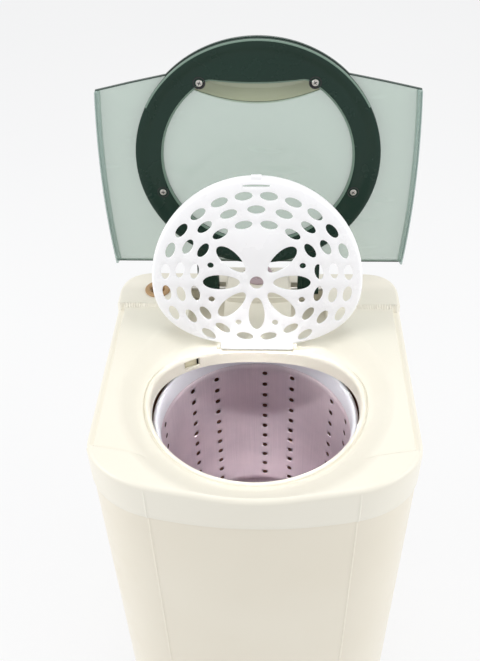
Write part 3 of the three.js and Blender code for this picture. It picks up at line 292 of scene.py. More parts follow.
def tinted(tree, base, shade, mask):
    """An sRGB base colour, moved towards a second one by a mask."""
    mix = node(tree, "ShaderNodeMix", data_type="RGBA")
    mix.inputs["A"].default_value = srgb(*base)
    mix.inputs["B"].default_value = srgb(*shade)
    link(tree, mask, mix.inputs["Factor"])
    return mix.outputs["Result"]


def plastic(name, colour, shade, roughness=0.3, peel=0.02, dust=0.08, smudge=0.12, shine=0.5):
    """A moulded plastic: base colour drifting to a second shade, faint peel, smudges and dust."""
    made, tree, shader = new_material(name)
    skin = use_group(tree, MOULDED, Drift=0.9)
    marks = use_group(tree, HANDLED, Smudge=smudge, Scratch=0.06)
    film = use_group(tree, DUSTED, Amount=dust)
    drift = plus(tree, skin["Drift"], 0.3, clamp=True)
    drift = plus(tree, drift, film["Mask"], clamp=True)
    link(tree, tinted(tree, colour, shade, drift), shader.inputs["Base Color"])
    rough = plus(tree, marks["Roughness"], roughness)
    link(tree, plus(tree, rough, film["Mask"], clamp=True), shader.inputs["Roughness"])
    bump = node(tree, "ShaderNodeBump")
    bump.inputs["Strength"].default_value = peel
    bump.inputs["Distance"].default_value = 0.0004
    link(tree, skin["Height"], bump.inputs["Height"])
    link(tree, bump.outputs["Normal"], shader.inputs["Normal"])
    shader.inputs["Specular IOR Level"].default_value = shine
    return made


def metal(name, colour, shade, roughness, lines, depth, share):
    """A brushed or plated metal with fine lines round the drum's axis."""
    made, tree, shader = new_material(name)
    grain = use_group(tree, BRUSHED, Lines_per_turn=lines, Centre_x=MOUTH.x, Centre_y=MOUTH.y)
    marks = use_group(tree, HANDLED, Smudge=0.1, Scratch=0.08)
    shift = times(tree, plus(tree, grain["Line"], grain["Cloud"]), 0.5)
    link(tree, tinted(tree, colour, shade, ramp(tree, shift, 0.35, 0.65)), shader.inputs["Base Color"])
    rough = plus(tree, times(tree, grain["Line"], 0.12), roughness - 0.06)
    link(tree, plus(tree, rough, marks["Roughness"], clamp=True), shader.inputs["Roughness"])
    shader.inputs["Metallic"].default_value = share
    bump = node(tree, "ShaderNodeBump")
    bump.inputs["Strength"].default_value = depth
    bump.inputs["Distance"].default_value = 0.0002
    link(tree, grain["Line"], bump.inputs["Height"])
    link(tree, bump.outputs["Normal"], shader.inputs["Normal"])
    return made


def smoked(name, colour, shade, opacity):
    """Tinted clear plastic that shows what lies behind it."""
    made, tree, shader = new_material(name)
    skin = use_group(tree, MOULDED, Drift=0.8)
    marks = use_group(tree, HANDLED, Smudge=0.05, Scratch=0.05)
    drift = plus(tree, skin["Drift"], 0.25, clamp=True)
    drift = plus(tree, drift, marks["Scratches"], clamp=True)
    link(tree, tinted(tree, colour, shade, drift), shader.inputs["Base Color"])
    link(tree, plus(tree, marks["Roughness"], 0.08, clamp=True), shader.inputs["Roughness"])
    link(tree, plus(tree, marks["Scratches"], opacity, clamp=True), shader.inputs["Alpha"])
    shader.inputs["Coat Weight"].default_value = 0.3
    shader.inputs["Coat Roughness"].default_value = 0.05
    return made


CREAM = plastic("Cream casing plastic", (239, 235, 221), (233, 226, 208), 0.3, dust=0.1)
CREAM_CASING = plastic("Cream casing wall", (235, 228, 210), (228, 219, 199), 0.28, dust=0.03)
WHITE = plastic("White lid plastic", (253, 252, 252), (247, 248, 249), 0.26, dust=0.05)
RING_WHITE = plastic("White balance ring", (240, 241, 246), (226, 229, 238), 0.3, dust=0.02)
GREEN = plastic("Dark green plastic", (17, 42, 33), (27, 55, 44), 0.22, dust=0.01, smudge=0.14, shine=0.27)
# The pale green on the frame ring's inner bevel and on the front of its outer edge is a painted highlight,
# standing for the light lines that run along these edges.
GREEN_PAINTED_HIGHLIGHT = plastic("Green bevel painted highlight", (118, 140, 126), (96, 120, 106), 0.3, dust=0.02)
SMOKED = smoked("Smoked window", (172, 196, 180), (182, 202, 188), 0.46)
SMOKED_EDGE = smoked("Smoked window edge", (36, 58, 50), (54, 78, 68), 0.9)
SMOKED_EDGE_LIGHT = smoked("Smoked lip", (164, 190, 182), (178, 202, 192), 0.5)
HOOD_TINT = smoked("Smoked hood wall", (200, 206, 172), (176, 186, 150), 0.7)
DRUM_STEEL = metal("Brushed drum steel", (216, 200, 206), (196, 182, 190), 0.42, 1400.0, 0.25, 0.2)
# The dark brown on the drum's hole edges is painted shade: the dark of the holes, tinted like the brown tub
# seen through them.
HOLE_EDGE_PAINTED_SHADE = plastic("Hole edge painted shade", (74, 46, 34), (52, 32, 26), 0.6, dust=0.0)
ZINC = metal("Zinc plated steel", (206, 202, 196), (178, 176, 170), 0.3, 300.0, 0.1, 0.8)
KNOB = plastic("Knob plastic", (178, 158, 164), (196, 178, 182), 0.25, dust=0.02)
IVORY = plastic("Ivory lever plastic", (232, 226, 196), (216, 208, 176), 0.35, dust=0.02)
TAN = plastic("Tan fitting plastic", (186, 152, 108), (150, 116, 78), 0.4, dust=0.05)
TUB = plastic("Tub plastic", (150, 98, 66), (118, 72, 46), 0.45, dust=0.02)
INNER_GREY = plastic("Grey inner plastic", (196, 196, 190), (176, 176, 170), 0.45)
PAN_GREY = plastic("Base pan plastic", (112, 114, 116), (96, 98, 100), 0.5)
# Black rubber for the real rubber parts; the lid screws' crosses and cups also take it, as painted shade.
RUBBER_AND_PAINTED_SHADE = plastic("Black rubber and painted shade", (28, 28, 29), (44, 44, 44), 0.7, peel=0.1, dust=0.15)
MOTOR_PAINT = plastic("Motor paint", (78, 84, 90), (66, 70, 76), 0.45)
LINING = plastic("Brake lining", (92, 70, 52), (70, 52, 40), 0.8, peel=0.2)
PRINT = plastic("Dial print", (40, 38, 40), (58, 54, 56), 0.5, dust=0.02)

NODE_FINISH = {
    "pan_grey": PAN_GREY,
    "rubber_black": RUBBER_AND_PAINTED_SHADE,
    "body_cream": CREAM,
    "zinc": ZINC,
    "fitting_tan": TAN,
    "tub_grey": INNER_GREY,
    "knob_mauve": KNOB,
    "lid_smoked": SMOKED,
    "frame_green": GREEN,
    "disc_white": WHITE,
    "drum_steel": DRUM_STEEL,
    "brake_lining": LINING,
    "motor_shell": MOTOR_PAINT,
}
NODE_OWN = {"switch_lever": IVORY}

# ---- Making pieces ----------------------------------------------------------------------


def finish_mesh(mesh, finishes, sharp_angle):
    for finish in finishes:
        mesh.materials.append(finish)
    mesh.polygons.foreach_set("use_smooth", [True] * len(mesh.polygons))
    mesh.set_sharp_from_angle(angle=math.radians(sharp_angle))
    mesh.update()


def add_piece(name, mesh, finishes, body, replaced=(), sharp_angle=32, move=None):
    """A mesh in millimetres about the mouth becomes a piece that rides on a body."""
    scale = Matrix.Translation(MOUTH) @ Matrix.Scale(MM, 4)
    mesh.transform(scale @ move if move else scale)
    finish_mesh(mesh, finishes if isinstance(finishes, (list, tuple)) else [finishes], sharp_angle)
    made = bpy.data.objects.new(name, mesh)
    bpy.context.scene.collection.objects.link(made)
    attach(made, body)
    if replaced:
        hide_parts(*replaced)
    return made


@contextmanager
def editing(mesh):
    """Opens a mesh for a change, and writes it back after it."""
    work = bmesh.new()
    work.from_mesh(mesh)
    yield work
    work.to_mesh(mesh)
    work.free()


def mesh_of(name, points, faces, weld=1e-4):
    mesh = bpy.data.meshes.new(name)
    mesh.from_pydata([tuple(p) for p in points], [], faces)
    with editing(mesh) as work:
        bmesh.ops.remove_doubles(work, verts=work.verts, dist=weld)
        bmesh.ops.recalc_face_normals(work, faces=work.faces)
    return mesh


def rings_faces(ring_count, around, loop=False):
    faces = []
    for k in range(ring_count if loop else ring_count - 1):
        nxt = (k + 1) % ring_count
        for i in range(around):
            j = (i + 1) % around
            faces.append((k * around + i, k * around + j, nxt * around + j, nxt * around + i))
    return faces


def skin(name, rings, cap_start=False, cap_end=False, loop=False):
    """A skin over rings of as many points each."""
    around = len(rings[0])
    points = [p for ring in rings for p in ring]
    faces = rings_faces(len(rings), around, loop=loop)
    if cap_start:
        faces.append(tuple(reversed(range(around))))
    if cap_end:
        last = (len(rings) - 1) * around
        faces.append(tuple(range(last, last + around)))
    return mesh_of(name, points, faces)


def turned(name, profile, sides=96, closed=True):
    """A turned piece about the z axis through [radius, z] points."""
    turns = [2 * math.pi * i / sides for i in range(sides)]
    rings = [[polar(r, a, z) for a in turns] for r, z in profile]
    return skin(name, rings, loop=closed)


def rounded(profile, radius, steps=4, closed=True):
    """A closed or open profile with its corners rounded, as far as its sides allow."""
    made = []
    count = len(profile)
    for i, corner in enumerate(profile):
        if not closed and i in (0, count - 1):
            made.append(tuple(corner))
            continue
        here = Vector(corner)
        before = Vector(profile[i - 1]) - here
        after = Vector(profile[(i + 1) % count]) - here
        if before.length < 1e-6 or after.length < 1e-6:
            made.append(tuple(corner))
            continue
        reach = min(radius, before.length * 0.45, after.length * 0.45)
        start = here + before.normalized() * reach
        end = here + after.normalized() * reach
        for k in range(steps + 1):
            t = k / steps
            made.append(tuple(start * (1 - t) ** 2 + here * 2 * t * (1 - t) + end * t * t))
    return made


def drawn_in(loop, by):
    """A closed loop moved to its left, which is into the plate."""
    made = []
    for before, here, after in zip(loop[-1:] + loop[:-1], loop, loop[1:] + loop[:1]):
        along = (Vector(after) - Vector(before)).normalized()
        made.append((here[0] - along.y * by, here[1] + along.x * by))
    return made


def plate(name, outlines, low, high, rounding, steps=3):
    """A flat plate with holes: the first outline is its edge and the others are its holes."""
    loops = []
    for k, outline in enumerate(outlines):
        turn = sum(a[0] * b[1] - b[0] * a[1] for a, b in zip(outline, outline[1:] + outline[:1]))
        loops.append(list(outline) if (turn > 0) == (k == 0) else list(reversed(outline)))
    flat = [drawn_in(loop, rounding) for loop in loops]
    spots = [Vector(p) for loop in flat for p in loop]
    corners, first = [], 0
    for loop in flat:
        around = list(range(first, first + len(loop)))
        corners.append(around[::-1] if corners else around)
        first += len(loop)
    spots, _, triangles, _, _, owners = delaunay_2d_cdt(spots, [], corners, 1, 1e-5)
    solid = [t for t, owner in zip(triangles, owners) if list(owner) == [0]]
    points = [(p.x, p.y, z) for z in (high, low) for p in spots]
    faces = [tuple(t) for t in solid] + [tuple(i + len(spots) for i in reversed(t)) for t in solid]
    for loop in loops:
        rings = []
        for k in range(2 * steps + 2):
            a = math.pi / 2 * (k if k <= steps else k - 1) / steps
            inset = rounding * (1 - math.sin(a))
            z = (high - rounding if k <= steps else low + rounding) + rounding * math.cos(a)
            rings.append([(x, y, z) for x, y in drawn_in(loop, inset)])
        first = len(points)
        points += [p for ring in rings for p in ring]
        faces += [tuple(first + i for i in face) for face in rings_faces(len(rings), len(loop))]
    return mesh_of(name, points, faces, 1e-3)


def joined(name, meshes):
    """Several meshes as one."""
    whole = bmesh.new()
    for mesh in meshes:
        whole.from_mesh(mesh)
    made = bpy.data.meshes.new(name)
    whole.to_mesh(made)
    whole.free()
    return made


def block(name, outline_at, levels, rounding, steps=3):
    """A block through outlines at heights, with a rounded top edge."""
    rings = [[(x, y, z) for x, y in outline_at(inset)] for z, inset in levels]
    top_z, top_inset = levels[-1]
    for k in range(1, steps + 1):
        a = math.pi / 2 * k / steps
        z = top_z + rounding * math.sin(a)
        rings.append([(x, y, z) for x, y in outline_at(top_inset + rounding * (1 - math.cos(a)))])
    return skin(name, rings, cap_start=True, cap_end=True)


def round_rectangle(x0, x1, y0, y1, radius, steps=5):
    points = []
    for cx, cy, start in (
        (x1 - radius, y1 - radius, 0),
        (x0 + radius, y1 - radius, 90),
        (x0 + radius, y0 + radius, 180),
        (x1 - radius, y0 + radius, 270),
    ):
        for k in range(steps + 1):
            a = math.radians(start + 90 * k / steps)
            points.append((cx + radius * math.cos(a), cy + radius * math.sin(a)))
    return points


def opened(axis, degrees):
    """Turns what is built lying closed to where it stands open."""
    y, z = axis
    there = Matrix.Translation((0, y, z))
    return there @ Matrix.Rotation(math.radians(-degrees), 4, "X") @ there.inverted()


def along_x(x0, y, z):
    """Lays a piece about the z axis down along x, from x0 on."""
    return Matrix.Translation((x0, y, z)) @ Matrix.Rotation(math.pi / 2, 4, "Y")


# ---- Outlines ---------------------------------------------------------------------------


def half_casing():
    """The casing from above, from the middle of its front round the right side to its back."""
    points = []
    for k in range(25):
        t = k / 24
        points.append((CREASE_X * t, CREASE_Y - FRONT_BOW * (1 - t * t)))
    start, end = Vector((CREASE_X, CREASE_Y)), Vector((CASE_HALF, SIDE_FRONT_Y))
    first, second = Vector((CREASE_X + 38, CREASE_Y + 8.5)), Vector((CASE_HALF, SIDE_FRONT_Y - 36))
    for k in range(1, 37):
        t = k / 36
        points.append(tuple(
            start * (1 - t) ** 3 + first * 3 * t * (1 - t) ** 2 + second * 3 * t * t * (1 - t) + end * t ** 3
        ))
    for k in range(1, 31):
        t = k / 30
        points.append((CASE_HALF - BACK_CORNER * t * t, CASE_BACK - BACK_CORNER * (1 - t) ** 2))
    points.append((0, CASE_BACK))
    return points


HALF_CASING = half_casing()
CASING_ROUND = HALF_CASING + [(-x, y) for x, y in reversed(HALF_CASING[1:-1])]


def casing_reach(angle):
    """How far the casing's outline is from the mouth's middle at an angle."""
    dx, dy = math.cos(angle), math.sin(angle)
    for (ax, ay), (bx, by) in zip(CASING_ROUND, CASING_ROUND[1:] + CASING_ROUND[:1]):
        side_a, side_b = dx * ay - dy * ax, dx * by - dy * bx
        if side_a <= 0 < side_b:
            t = side_a / (side_a - side_b)
            return (ax + (bx - ax) * t) * dx + (ay + (by - ay) * t) * dy
    return CASE_HALF


def mouth_reach(angle, grow=0.0, grow_back=None):
    """How far the mouth's edge is from its middle at an angle."""
    side, back = MOUTH_R + grow, MOUTH_BACK + (grow if grow_back is None else grow_back)
    if math.sin(angle) <= 0:
        return side
    across = abs(math.cos(angle) / side) ** MOUTH_POWER + (math.sin(angle) / back) ** MOUTH_POWER
    return across ** (-1 / MOUTH_POWER)


def round_front(half, front, back):
    """A half oval in front and half of a squarish one at the back."""
    points, steps = [], 48
    for k in range(4 * steps):
        a = math.pi / 2 * k / steps
        if a >= math.pi:
            points.append((half * math.cos(a), front * math.sin(a)))
        else:
            x, y = math.cos(a), math.sin(a)
            bend = 2 / DISC_POWER
            points.append((math.copysign(abs(x) ** bend * half, x), y ** bend * back))
    return points


def disc_outline(inset):
    """The inner lid from above as it lies closed."""
    return round_front(DISC_HALF - inset, DISC_FRONT - inset, DISC_BACK - inset)


def disc_flat():
    """The inner lid's flat face, inside its shoulder."""
    return round_front(DISC_HALF - SHOULDER_SIDE, DISC_FRONT - SHOULDER_FRONT, DISC_BACK - SHOULDER_BACK)


def oval(radius, degrees, long, short, sides=24):
    """A hole of the inner lid; the turn is counted from +x through the front."""
    a = -math.radians(degrees)
    points = []
    for k in range(sides):
        b = 2 * math.pi * k / sides
        x, y = radius + short * math.cos(b), long * math.sin(b)
        points.append((x * math.cos(a) - y * math.sin(a), x * math.sin(a) + y * math.cos(a)))
    return points


# ---- Camera, floor and light ------------------------------------------------------------


# The camera that fits the photograph: pitch, yaw and roll, place from the mouth, and focal length.
CAMERA_TURNS = (41.20, -3.25, -1.63)
CAMERA_PLACE = (18.82, -577.26, 599.27)
SENSOR = 36
FOCAL_IN_PIXELS, HEIGHT_IN_PIXELS = 788.9, 661


def set_camera():
    pitch, yaw, roll = map(math.radians, CAMERA_TURNS)
    ahead = Vector((math.sin(yaw) * math.cos(pitch), math.cos(yaw) * math.cos(pitch), -math.sin(pitch)))
    right = ahead.cross(Vector((0, 0, 1))).normalized()
    up = right.cross(ahead)
    rolled = right * math.cos(roll) + up * math.sin(roll)
    upright = -right * math.sin(roll) + up * math.cos(roll)
    made = bpy.data.cameras.new("Camera")
    made.sensor_width = SENSOR
    made.lens = FOCAL_IN_PIXELS / HEIGHT_IN_PIXELS * SENSOR
    holder = bpy.data.objects.new("Camera", made)
    turn = Matrix((rolled, upright, -ahead)).transposed().to_4x4()
    holder.matrix_world = Matrix.Translation(MOUTH + Vector(CAMERA_PLACE) * MM) @ turn
    bpy.context.scene.collection.objects.link(holder)
    bpy.context.scene.camera = holder


def set_world():
    world = bpy.data.worlds.new("Studio")
    bpy.context.scene.world = world
    world.use_nodes = True
    tree = world.node_tree
    tree.nodes.clear()
    seen = node(tree, "ShaderNodeBackground")
    seen.inputs["Color"].default_value = srgb(250, 250, 250)
    lighting = node(tree, "ShaderNodeBackground")
    lighting.inputs["Color"].default_value = srgb(248, 250, 255)
    lighting.inputs["Strength"].default_value = 0.62
    mix = node(tree, "ShaderNodeMixShader")
    link(tree, seen_directly(tree), mix.inputs[0])
    link(tree, lighting.outputs[0], mix.inputs[1])
    link(tree, seen.outputs[0], mix.inputs[2])
    link(tree, mix.outputs[0], node(tree, "ShaderNodeOutputWorld").inputs["Surface"])


def set_floor():
    """A pale floor that shows as plain white, apart from the object's soft shadow."""
    made = bpy.data.materials.new("Pale floor")
    made.use_nodes = True
    tree = made.node_tree
    shader = tree.nodes["Principled BSDF"]
    place = node(tree, "ShaderNodeTexCoord").outputs["Object"]
    drift = ramp(tree, noise(tree, place, 1.5, 2.0), 0.3, 0.7)
    link(tree, tinted(tree, (250, 250, 250), (247, 247, 248), drift), shader.inputs["Base Color"])
    shader.inputs["Roughness"].default_value = 0.9
    white = node(tree, "ShaderNodeEmission")
    white.inputs["Color"].default_value = srgb(250, 250, 250)
    mix = node(tree, "ShaderNodeMixShader")
    link(tree, times(tree, seen_directly(tree), 0.8), mix.inputs[0])
    link(tree, shader.outputs[0], mix.inputs[1])
    link(tree, white.outputs[0], mix.inputs[2])
    link(tree, mix.outputs[0], tree.nodes["Material Output"].inputs["Surface"])
    mesh = bpy.data.meshes.new("Floor")
    mesh.from_pydata([(-12, -12, 0), (12, -12, 0), (12, 12, 0), (-12, 12, 0)], [], [(0, 1, 2, 3)])
    mesh.materials.append(made)
    floor = bpy.data.objects.new("Floor", mesh)
    bpy.context.scene.collection.objects.link(floor)


def add_lamp(name, place, aim, size, power, spread=180):
    """A round softbox, with a grid in front of it where its spread is small."""
    lamp = bpy.data.lights.new(name, "AREA")
    lamp.shape = "DISK"
    lamp.size = size
    lamp.energy = power
    lamp.spread = math.radians(spread)
    lamp.color = (1, 0.995, 0.985)
    holder = bpy.data.objects.new(name, lamp)
    holder.location = place
    holder.rotation_euler = (Vector(aim) - Vector(place)).to_track_quat("-Z", "Y").to_euler()
    bpy.context.scene.collection.objects.link(holder)


set_camera()
set_world()
set_floor()
add_lamp("Left softbox", (-1.9, -0.5, 1.7), (0, 0, 0.4), 1.5, 24)
add_lamp("Right softbox", (1.9, -0.5, 1.6), (0, 0, 0.4), 1.5, 21)
add_lamp("Top softbox", (0.1, 0.5, 2.5), (0, 0, 0.6), 1.3, 10.5)
add_lamp("Mouth softbox", (0.0, -0.2, 1.42), (0, 0.0, 0.4), 0.1, 0.27, 11)
bpy.context.scene.view_settings.view_transform = "Standard"

for name, cad in frame["nodes"].items():
    slot_name = next(s["material_slot"] for s in frame["record"]["subparts"] if s["node"] == name)
    cad.data.materials.clear()
    cad.data.materials.append(NODE_OWN.get(name, NODE_FINISH[slot_name]))

# ---- Top cover --------------------------------------------------------------------------


def lid_half_width(y):
    """Half the closed outer lid's width at a depth, widest near its middle."""
    t = (LID_BACK - y) / (LID_BACK - LID_FRONT_CORNER)
    pull = 2 * LID_HALF_MIDDLE - (LID_HALF_BACK + LID_HALF_FRONT) / 2
    return LID_HALF_BACK * (1 - t) ** 2 + 2 * pull * t * (1 - t) + LID_HALF_FRONT * t * t


NOTCH_Y = -math.sqrt(LID_NOSE ** 2 - LID_NOTCH_X ** 2)


def deck_height(x, y):
    """The height of the cover's upper face over any point."""
    ax, reach = abs(x), math.hypot(x, y)
    slope = (NOTCH_Y - LID_FRONT_CORNER) / (LID_NOTCH_X - LID_HALF_FRONT)
    beside_nose = y - (LID_FRONT_CORNER - RECESS_GAP + slope * (ax - LID_HALF_FRONT))
    inside = LID_NOSE + RECESS_GAP - reach
    if ax > LID_NOTCH_X - 8 or y > 0:
        inside = max(inside, beside_nose)
    inside = min(inside, LID_BACK + RECESS_GAP - y)
    z = DECK + (RECESS - DECK) * smooth_step(-0.7, 0.7, inside)
    on_ledge = min(ax - LEDGE_X, y - LID_FRONT_CORNER + RECESS_GAP, LID_BACK + RECESS_GAP - y)
    z += (LEDGE - z) * smooth_step(-0.8, 0.8, on_ledge)
    dish = soft_max(DISH_FLOOR, DISH_FLOOR + DISH_SLOPE * (reach - DISH_R), 5)
    return soft_min(z, dish, 3.0)


def cover_angles():
    """Angles round the mouth, closer together at the creases and at the ends of the side steps."""
    angles = {round(k * 360 / 620, 3) for k in range(620)}
    corners = ((CREASE_X, CREASE_Y, 0.9, 0.12), (162, -78.8, 1.2, 0.2), (162, 132.7, 1.2, 0.2))
    for x, y, spread, pitch in corners:
        middle = math.degrees(math.atan2(y, x)) % 360
        for k in range(int(2 * spread / pitch) + 1):
            a = middle - spread + k * pitch
            angles.add(round(a % 360, 3))
            angles.add(round((180 - a) % 360, 3))
    return [math.radians(a) for a in sorted(angles)]


ANGLES = cover_angles()
CASE_REACH = [casing_reach(a) for a in ANGLES]


def ridge(x, y):
    """The fine upright moulding line on each side of the front."""
    return 0.8 * math.exp(-(((abs(x) - CREASE_X) / 0.9) ** 2)) if y < -100 else 0.0


def ring_at(reach, z, angles=ANGLES):
    """A ring round the mouth by its reach at each angle, level or with a height for each."""
    return [polar(*at) for at in zip(reach, angles, z if isinstance(z, list) else [z] * len(reach))]


def wall_ring(inset, z, ridged=True):
    """A ring along the casing's outline."""
    made = []
    for a, r in zip(ANGLES, CASE_REACH):
        x, y = r * math.cos(a), r * math.sin(a)
        out = r - inset + (ridge(x, y) if ridged else 0)
        made.append(polar(out, a, z))
    return made


def cut_across(work, faces, planes):
    """Splits the faces near a cut along its planes; faces() finds them again after each split."""
    for axis, value in planes:
        near = faces()
        geometry = list({v for f in near for v in f.verts}) + list({e for f in near for e in f.edges}) + near
        normal = Vector([1.0 if k == axis else 0.0 for k in range(3)])
        bmesh.ops.bisect_plane(work, geom=geometry, plane_co=normal * value, plane_no=normal, dist=1e-5)


def sink(work, gone, axis, depth):
    """Takes faces out and, where a depth is given, lets their outline down to a floor there."""
    lost = set(gone)
    rim = [e for e in {e for f in gone for e in f.edges} if any(g not in lost for g in e.link_faces)]
    bmesh.ops.delete(work, geom=gone, context="FACES")
    if depth is None:
        return
    made = bmesh.ops.extrude_edge_only(work, edges=[e for e in rim if e.is_valid])["geom"]
    low_edges = [g for g in made if isinstance(g, bmesh.types.BMEdge) and g.is_boundary]
    for v in {v for e in low_edges for v in e.verts}:
        v.co[axis] = depth
    bmesh.ops.contextual_create(work, geom=low_edges)


def cut_rectangle(work, lies_on, spans, axis, depth, near):
    """Cuts a rectangle, given by its span along two axes, and lets it down to a depth along the third."""
    def within(margin):
        found = []
        for f in work.faces:
            c = f.calc_center_median()
            if lies_on(c, f.normal) and all(low - margin < c[k] < high + margin for k, (low, high) in spans):
                found.append(f)
        return found

    cut_across(work, lambda: within(near), [(k, end) for k, ends in spans for end in ends])
    sink(work, within(0), axis, depth)


def cut_pocket(work, xs, ys, floor):
    """Lets a rectangle of the deck down to a floor."""
    cut_rectangle(work, lambda c, normal: c.z > -6, ((0, xs), (1, ys)), 2, floor, 9)


def cut_wall(work, axis, side, across, upright, depth):
    """Lets a rectangle into an upright wall: the back where axis is 1, or a side where it is 0."""
    def lies_on(c, normal):
        return c[axis] * side > 140 and abs(normal[axis]) > 0.7

    cut_rectangle(work, lies_on, ((1 - axis, across), (2, upright)), axis, depth, 30)


SWITCH_SPOT, SWITCH_TURN, SWITCH_HALF = Vector((-72, 58.8)), math.radians(27.1), 9
SWITCH_LOW, SWITCH_TOP = -14, -3.4
REVEAL = 1.03
HINGE_DIP, DIP_FRONT, DIP_BACK = -3.4, 66, 82.4


def in_switch_window(point):
    """Whether a point of the mouth's wall lies in the lid switch's window."""
    along = Vector((math.cos(SWITCH_TURN), math.sin(SWITCH_TURN)))
    offset = Vector((point.x, point.y)) - SWITCH_SPOT
    return abs(offset.dot(along)) < SWITCH_HALF and offset.length < 14 and SWITCH_LOW < point.z < SWITCH_TOP


def open_switch_window(work):
    """Opens the mouth's wall in front of the lid switch, with a reveal as deep as the wall."""
    gone = [f for f in work.faces if in_switch_window(f.calc_center_median())]
    bmesh.ops.delete(work, geom=gone, context="FACES")
    rim = []
    for e in work.edges:
        middle = (e.verts[0].co + e.verts[1].co) / 2
        flat = Vector((middle.x, middle.y))
        near = (flat - SWITCH_SPOT).length < 13 and SWITCH_LOW - 0.5 < middle.z < SWITCH_TOP + 0.2
        if e.is_boundary and near and mouth_reach(math.atan2(middle.y, middle.x), 1.0) > flat.length:
            rim.append(e)
    made = bmesh.ops.extrude_edge_only(work, edges=rim)["geom"]
    for v in {g for g in made if isinstance(g, bmesh.types.BMVert)}:
        v.co.x *= REVEAL
        v.co.y *= REVEAL


def let_in_hinge(work):
    """Lowers the rim and the shelf where the inner lid's barrel lies."""
    for v in work.verts:
        if v.co.z > HINGE_DIP:
            inside = min(EAR_IN - abs(v.co.x), v.co.y - DIP_FRONT, DIP_BACK - v.co.y)
            v.co.z += (HINGE_DIP - v.co.z) * smooth_step(-0.4, 0.4, inside)


def mouth_rings(mouth, bead):
    """Rings over the collar's back and foot, up the mouth's wall and over its rim to the bead."""
    rings = [ring_at(grown(mouth, COVER_WALL), z) for z in (BEHIND_RIM, -14, COLLAR_LOW)]
    rings += [ring_at(grown(mouth, 0.6), COLLAR_LOW), ring_at(mouth, COLLAR_LOW + 0.6)]
    rings += [ring_at(mouth, z) for z in (-14, -10.5, -7, RIM_TOP - RIM_DOWN)]
    for k in range(1, 8):
        a = math.pi / 2 * k / 7
        reach = grown(mouth, RIM_IN * (1 - math.cos(a)))
        rings.append(ring_at(reach, RIM_TOP - RIM_DOWN * (1 - math.sin(a))))
    for k in range(6):
        a = math.pi / 2 * k / 5
        out = RIM_OUT * math.sin(a)
        reach = [m + RIM_IN + max(b - m - RIM_IN - RIM_OUT, 0.2) + out for m, b in zip(mouth, bead)]
        rings.append(ring_at(reach, RIM_TOP - BEAD_DROP * (1 - math.cos(a))))
    for k in (1, 2, 3):
        rings.append(ring_at(grown(bead, 0.5 * k), RIM_TOP - BEAD_DROP - 0.22 * k))
    return rings


def deck_rings(bead):
    """Rings from the bead over the dish and the deck, and down round the cover's outer edge."""
    rings, steps = [], 100
    for k in range(steps + 1):
        t = k / steps
        reach = [s + (c - COVER_EDGE - s) * t for s, c in zip(grown(bead, 2.0), CASE_REACH)]
        z = [deck_height(r * math.cos(a), r * math.sin(a)) for a, r in zip(ANGLES, reach)]
        rings.append(ring_at(reach, z))
    deck_edge = [p[2] for p in rings[-1]]
    for k in range(1, 7):
        a = math.pi / 2 * k / 6
        reach = [c - COVER_EDGE * (1 - math.sin(a)) for c in CASE_REACH]
        rings.append(ring_at(reach, [z - COVER_EDGE * (1 - math.cos(a)) for z in deck_edge]))
    return rings


def skirt_rings():
    """Rings down the skirt's wall, round its foot and up inside it."""
    rings = [wall_ring(0, z) for z in (-2, -12, -22, SKIRT_BOTTOM + 0.8)]
    rings.append(wall_ring(0.25, SKIRT_BOTTOM + 0.2))
    for inset, z in ((0.8, SKIRT_BOTTOM), (COVER_WALL, SKIRT_BOTTOM), (COVER_WALL, -8)):
        rings.append(wall_ring(inset, z, False))
    return rings


def make_cover():
    mouth = [mouth_reach(a) for a in ANGLES]
    bead = [mouth_reach(a, BEAD_SIDE, BEAD_BACK) for a in ANGLES]
    mesh = skin("top_cover_shell", mouth_rings(mouth, bead) + deck_rings(bead) + skirt_rings())
    with editing(mesh) as work:
        for side in (-1, 1):
            cut_pocket(work, sorted(side * x for x in POCKET_X), POCKET_Y, POCKET_FLOOR)
        cut_pocket(work, *[(c - INLET_HOLE, c + INLET_HOLE) for c in INLET], -7)
        open_switch_window(work)
        let_in_hinge(work)
        bmesh.ops.recalc_face_normals(work, faces=work.faces)
    add_piece("top_cover_shell", mesh, CREAM, "cabinet", ["top_cover"], 28)


def make_casing():
    top = SKIRT_BOTTOM - 1.4
    rings = [wall_ring(CASE_STEP + 3, top, False), wall_ring(CASE_STEP, top, False)]
    for z in [top - k * 24 for k in range(1, 22)] + [CASING_BOTTOM + 2]:
        rings.append(wall_ring(CASE_STEP, z))
    rings.append(wall_ring(CASE_STEP + 0.6, CASING_BOTTOM + 0.6))
    rings.append(wall_ring(CASE_STEP + 2, CASING_BOTTOM, False))
    rings.append(wall_ring(CASE_STEP + 3, CASING_BOTTOM, False))
    wall = skin("casing_wall", rings)
    with editing(wall) as work:
        # The rear cover's recess, the cord gland's hole and the drain's hole.
        cut_wall(work, 1, 1, (-78.3, 78.3), (-480.3, -319.7), CASE_BACK - CASE_STEP - 2.4)
        cut_wall(work, 1, 1, (-115, -105), (-517, -507), None)
        cut_wall(work, 0, -1, (-9.5, 9.5), (-509.5, -490.5), None)
        bmesh.ops.recalc_face_normals(work, faces=work.faces)
    add_piece("casing_wall", wall, CREAM_CASING, "cabinet", ["casing"], 28)


CONSOLE_HALF, CONSOLE_FRONT, CONSOLE_BACK = 38, 140, 193


def make_console():
    def outline(inset):
        half = CONSOLE_HALF - inset
        return round_rectangle(-half, half, CONSOLE_FRONT + inset, CONSOLE_BACK - inset, 4 - min(inset, 3))

    body = block("console", outline, [(8, 0), (17, 0.1), (21, 0.6), (21.6, 1.6), (26.5, 2.2)], 2.2, 4)
    add_piece("console_block", body, CREAM, "cabinet")


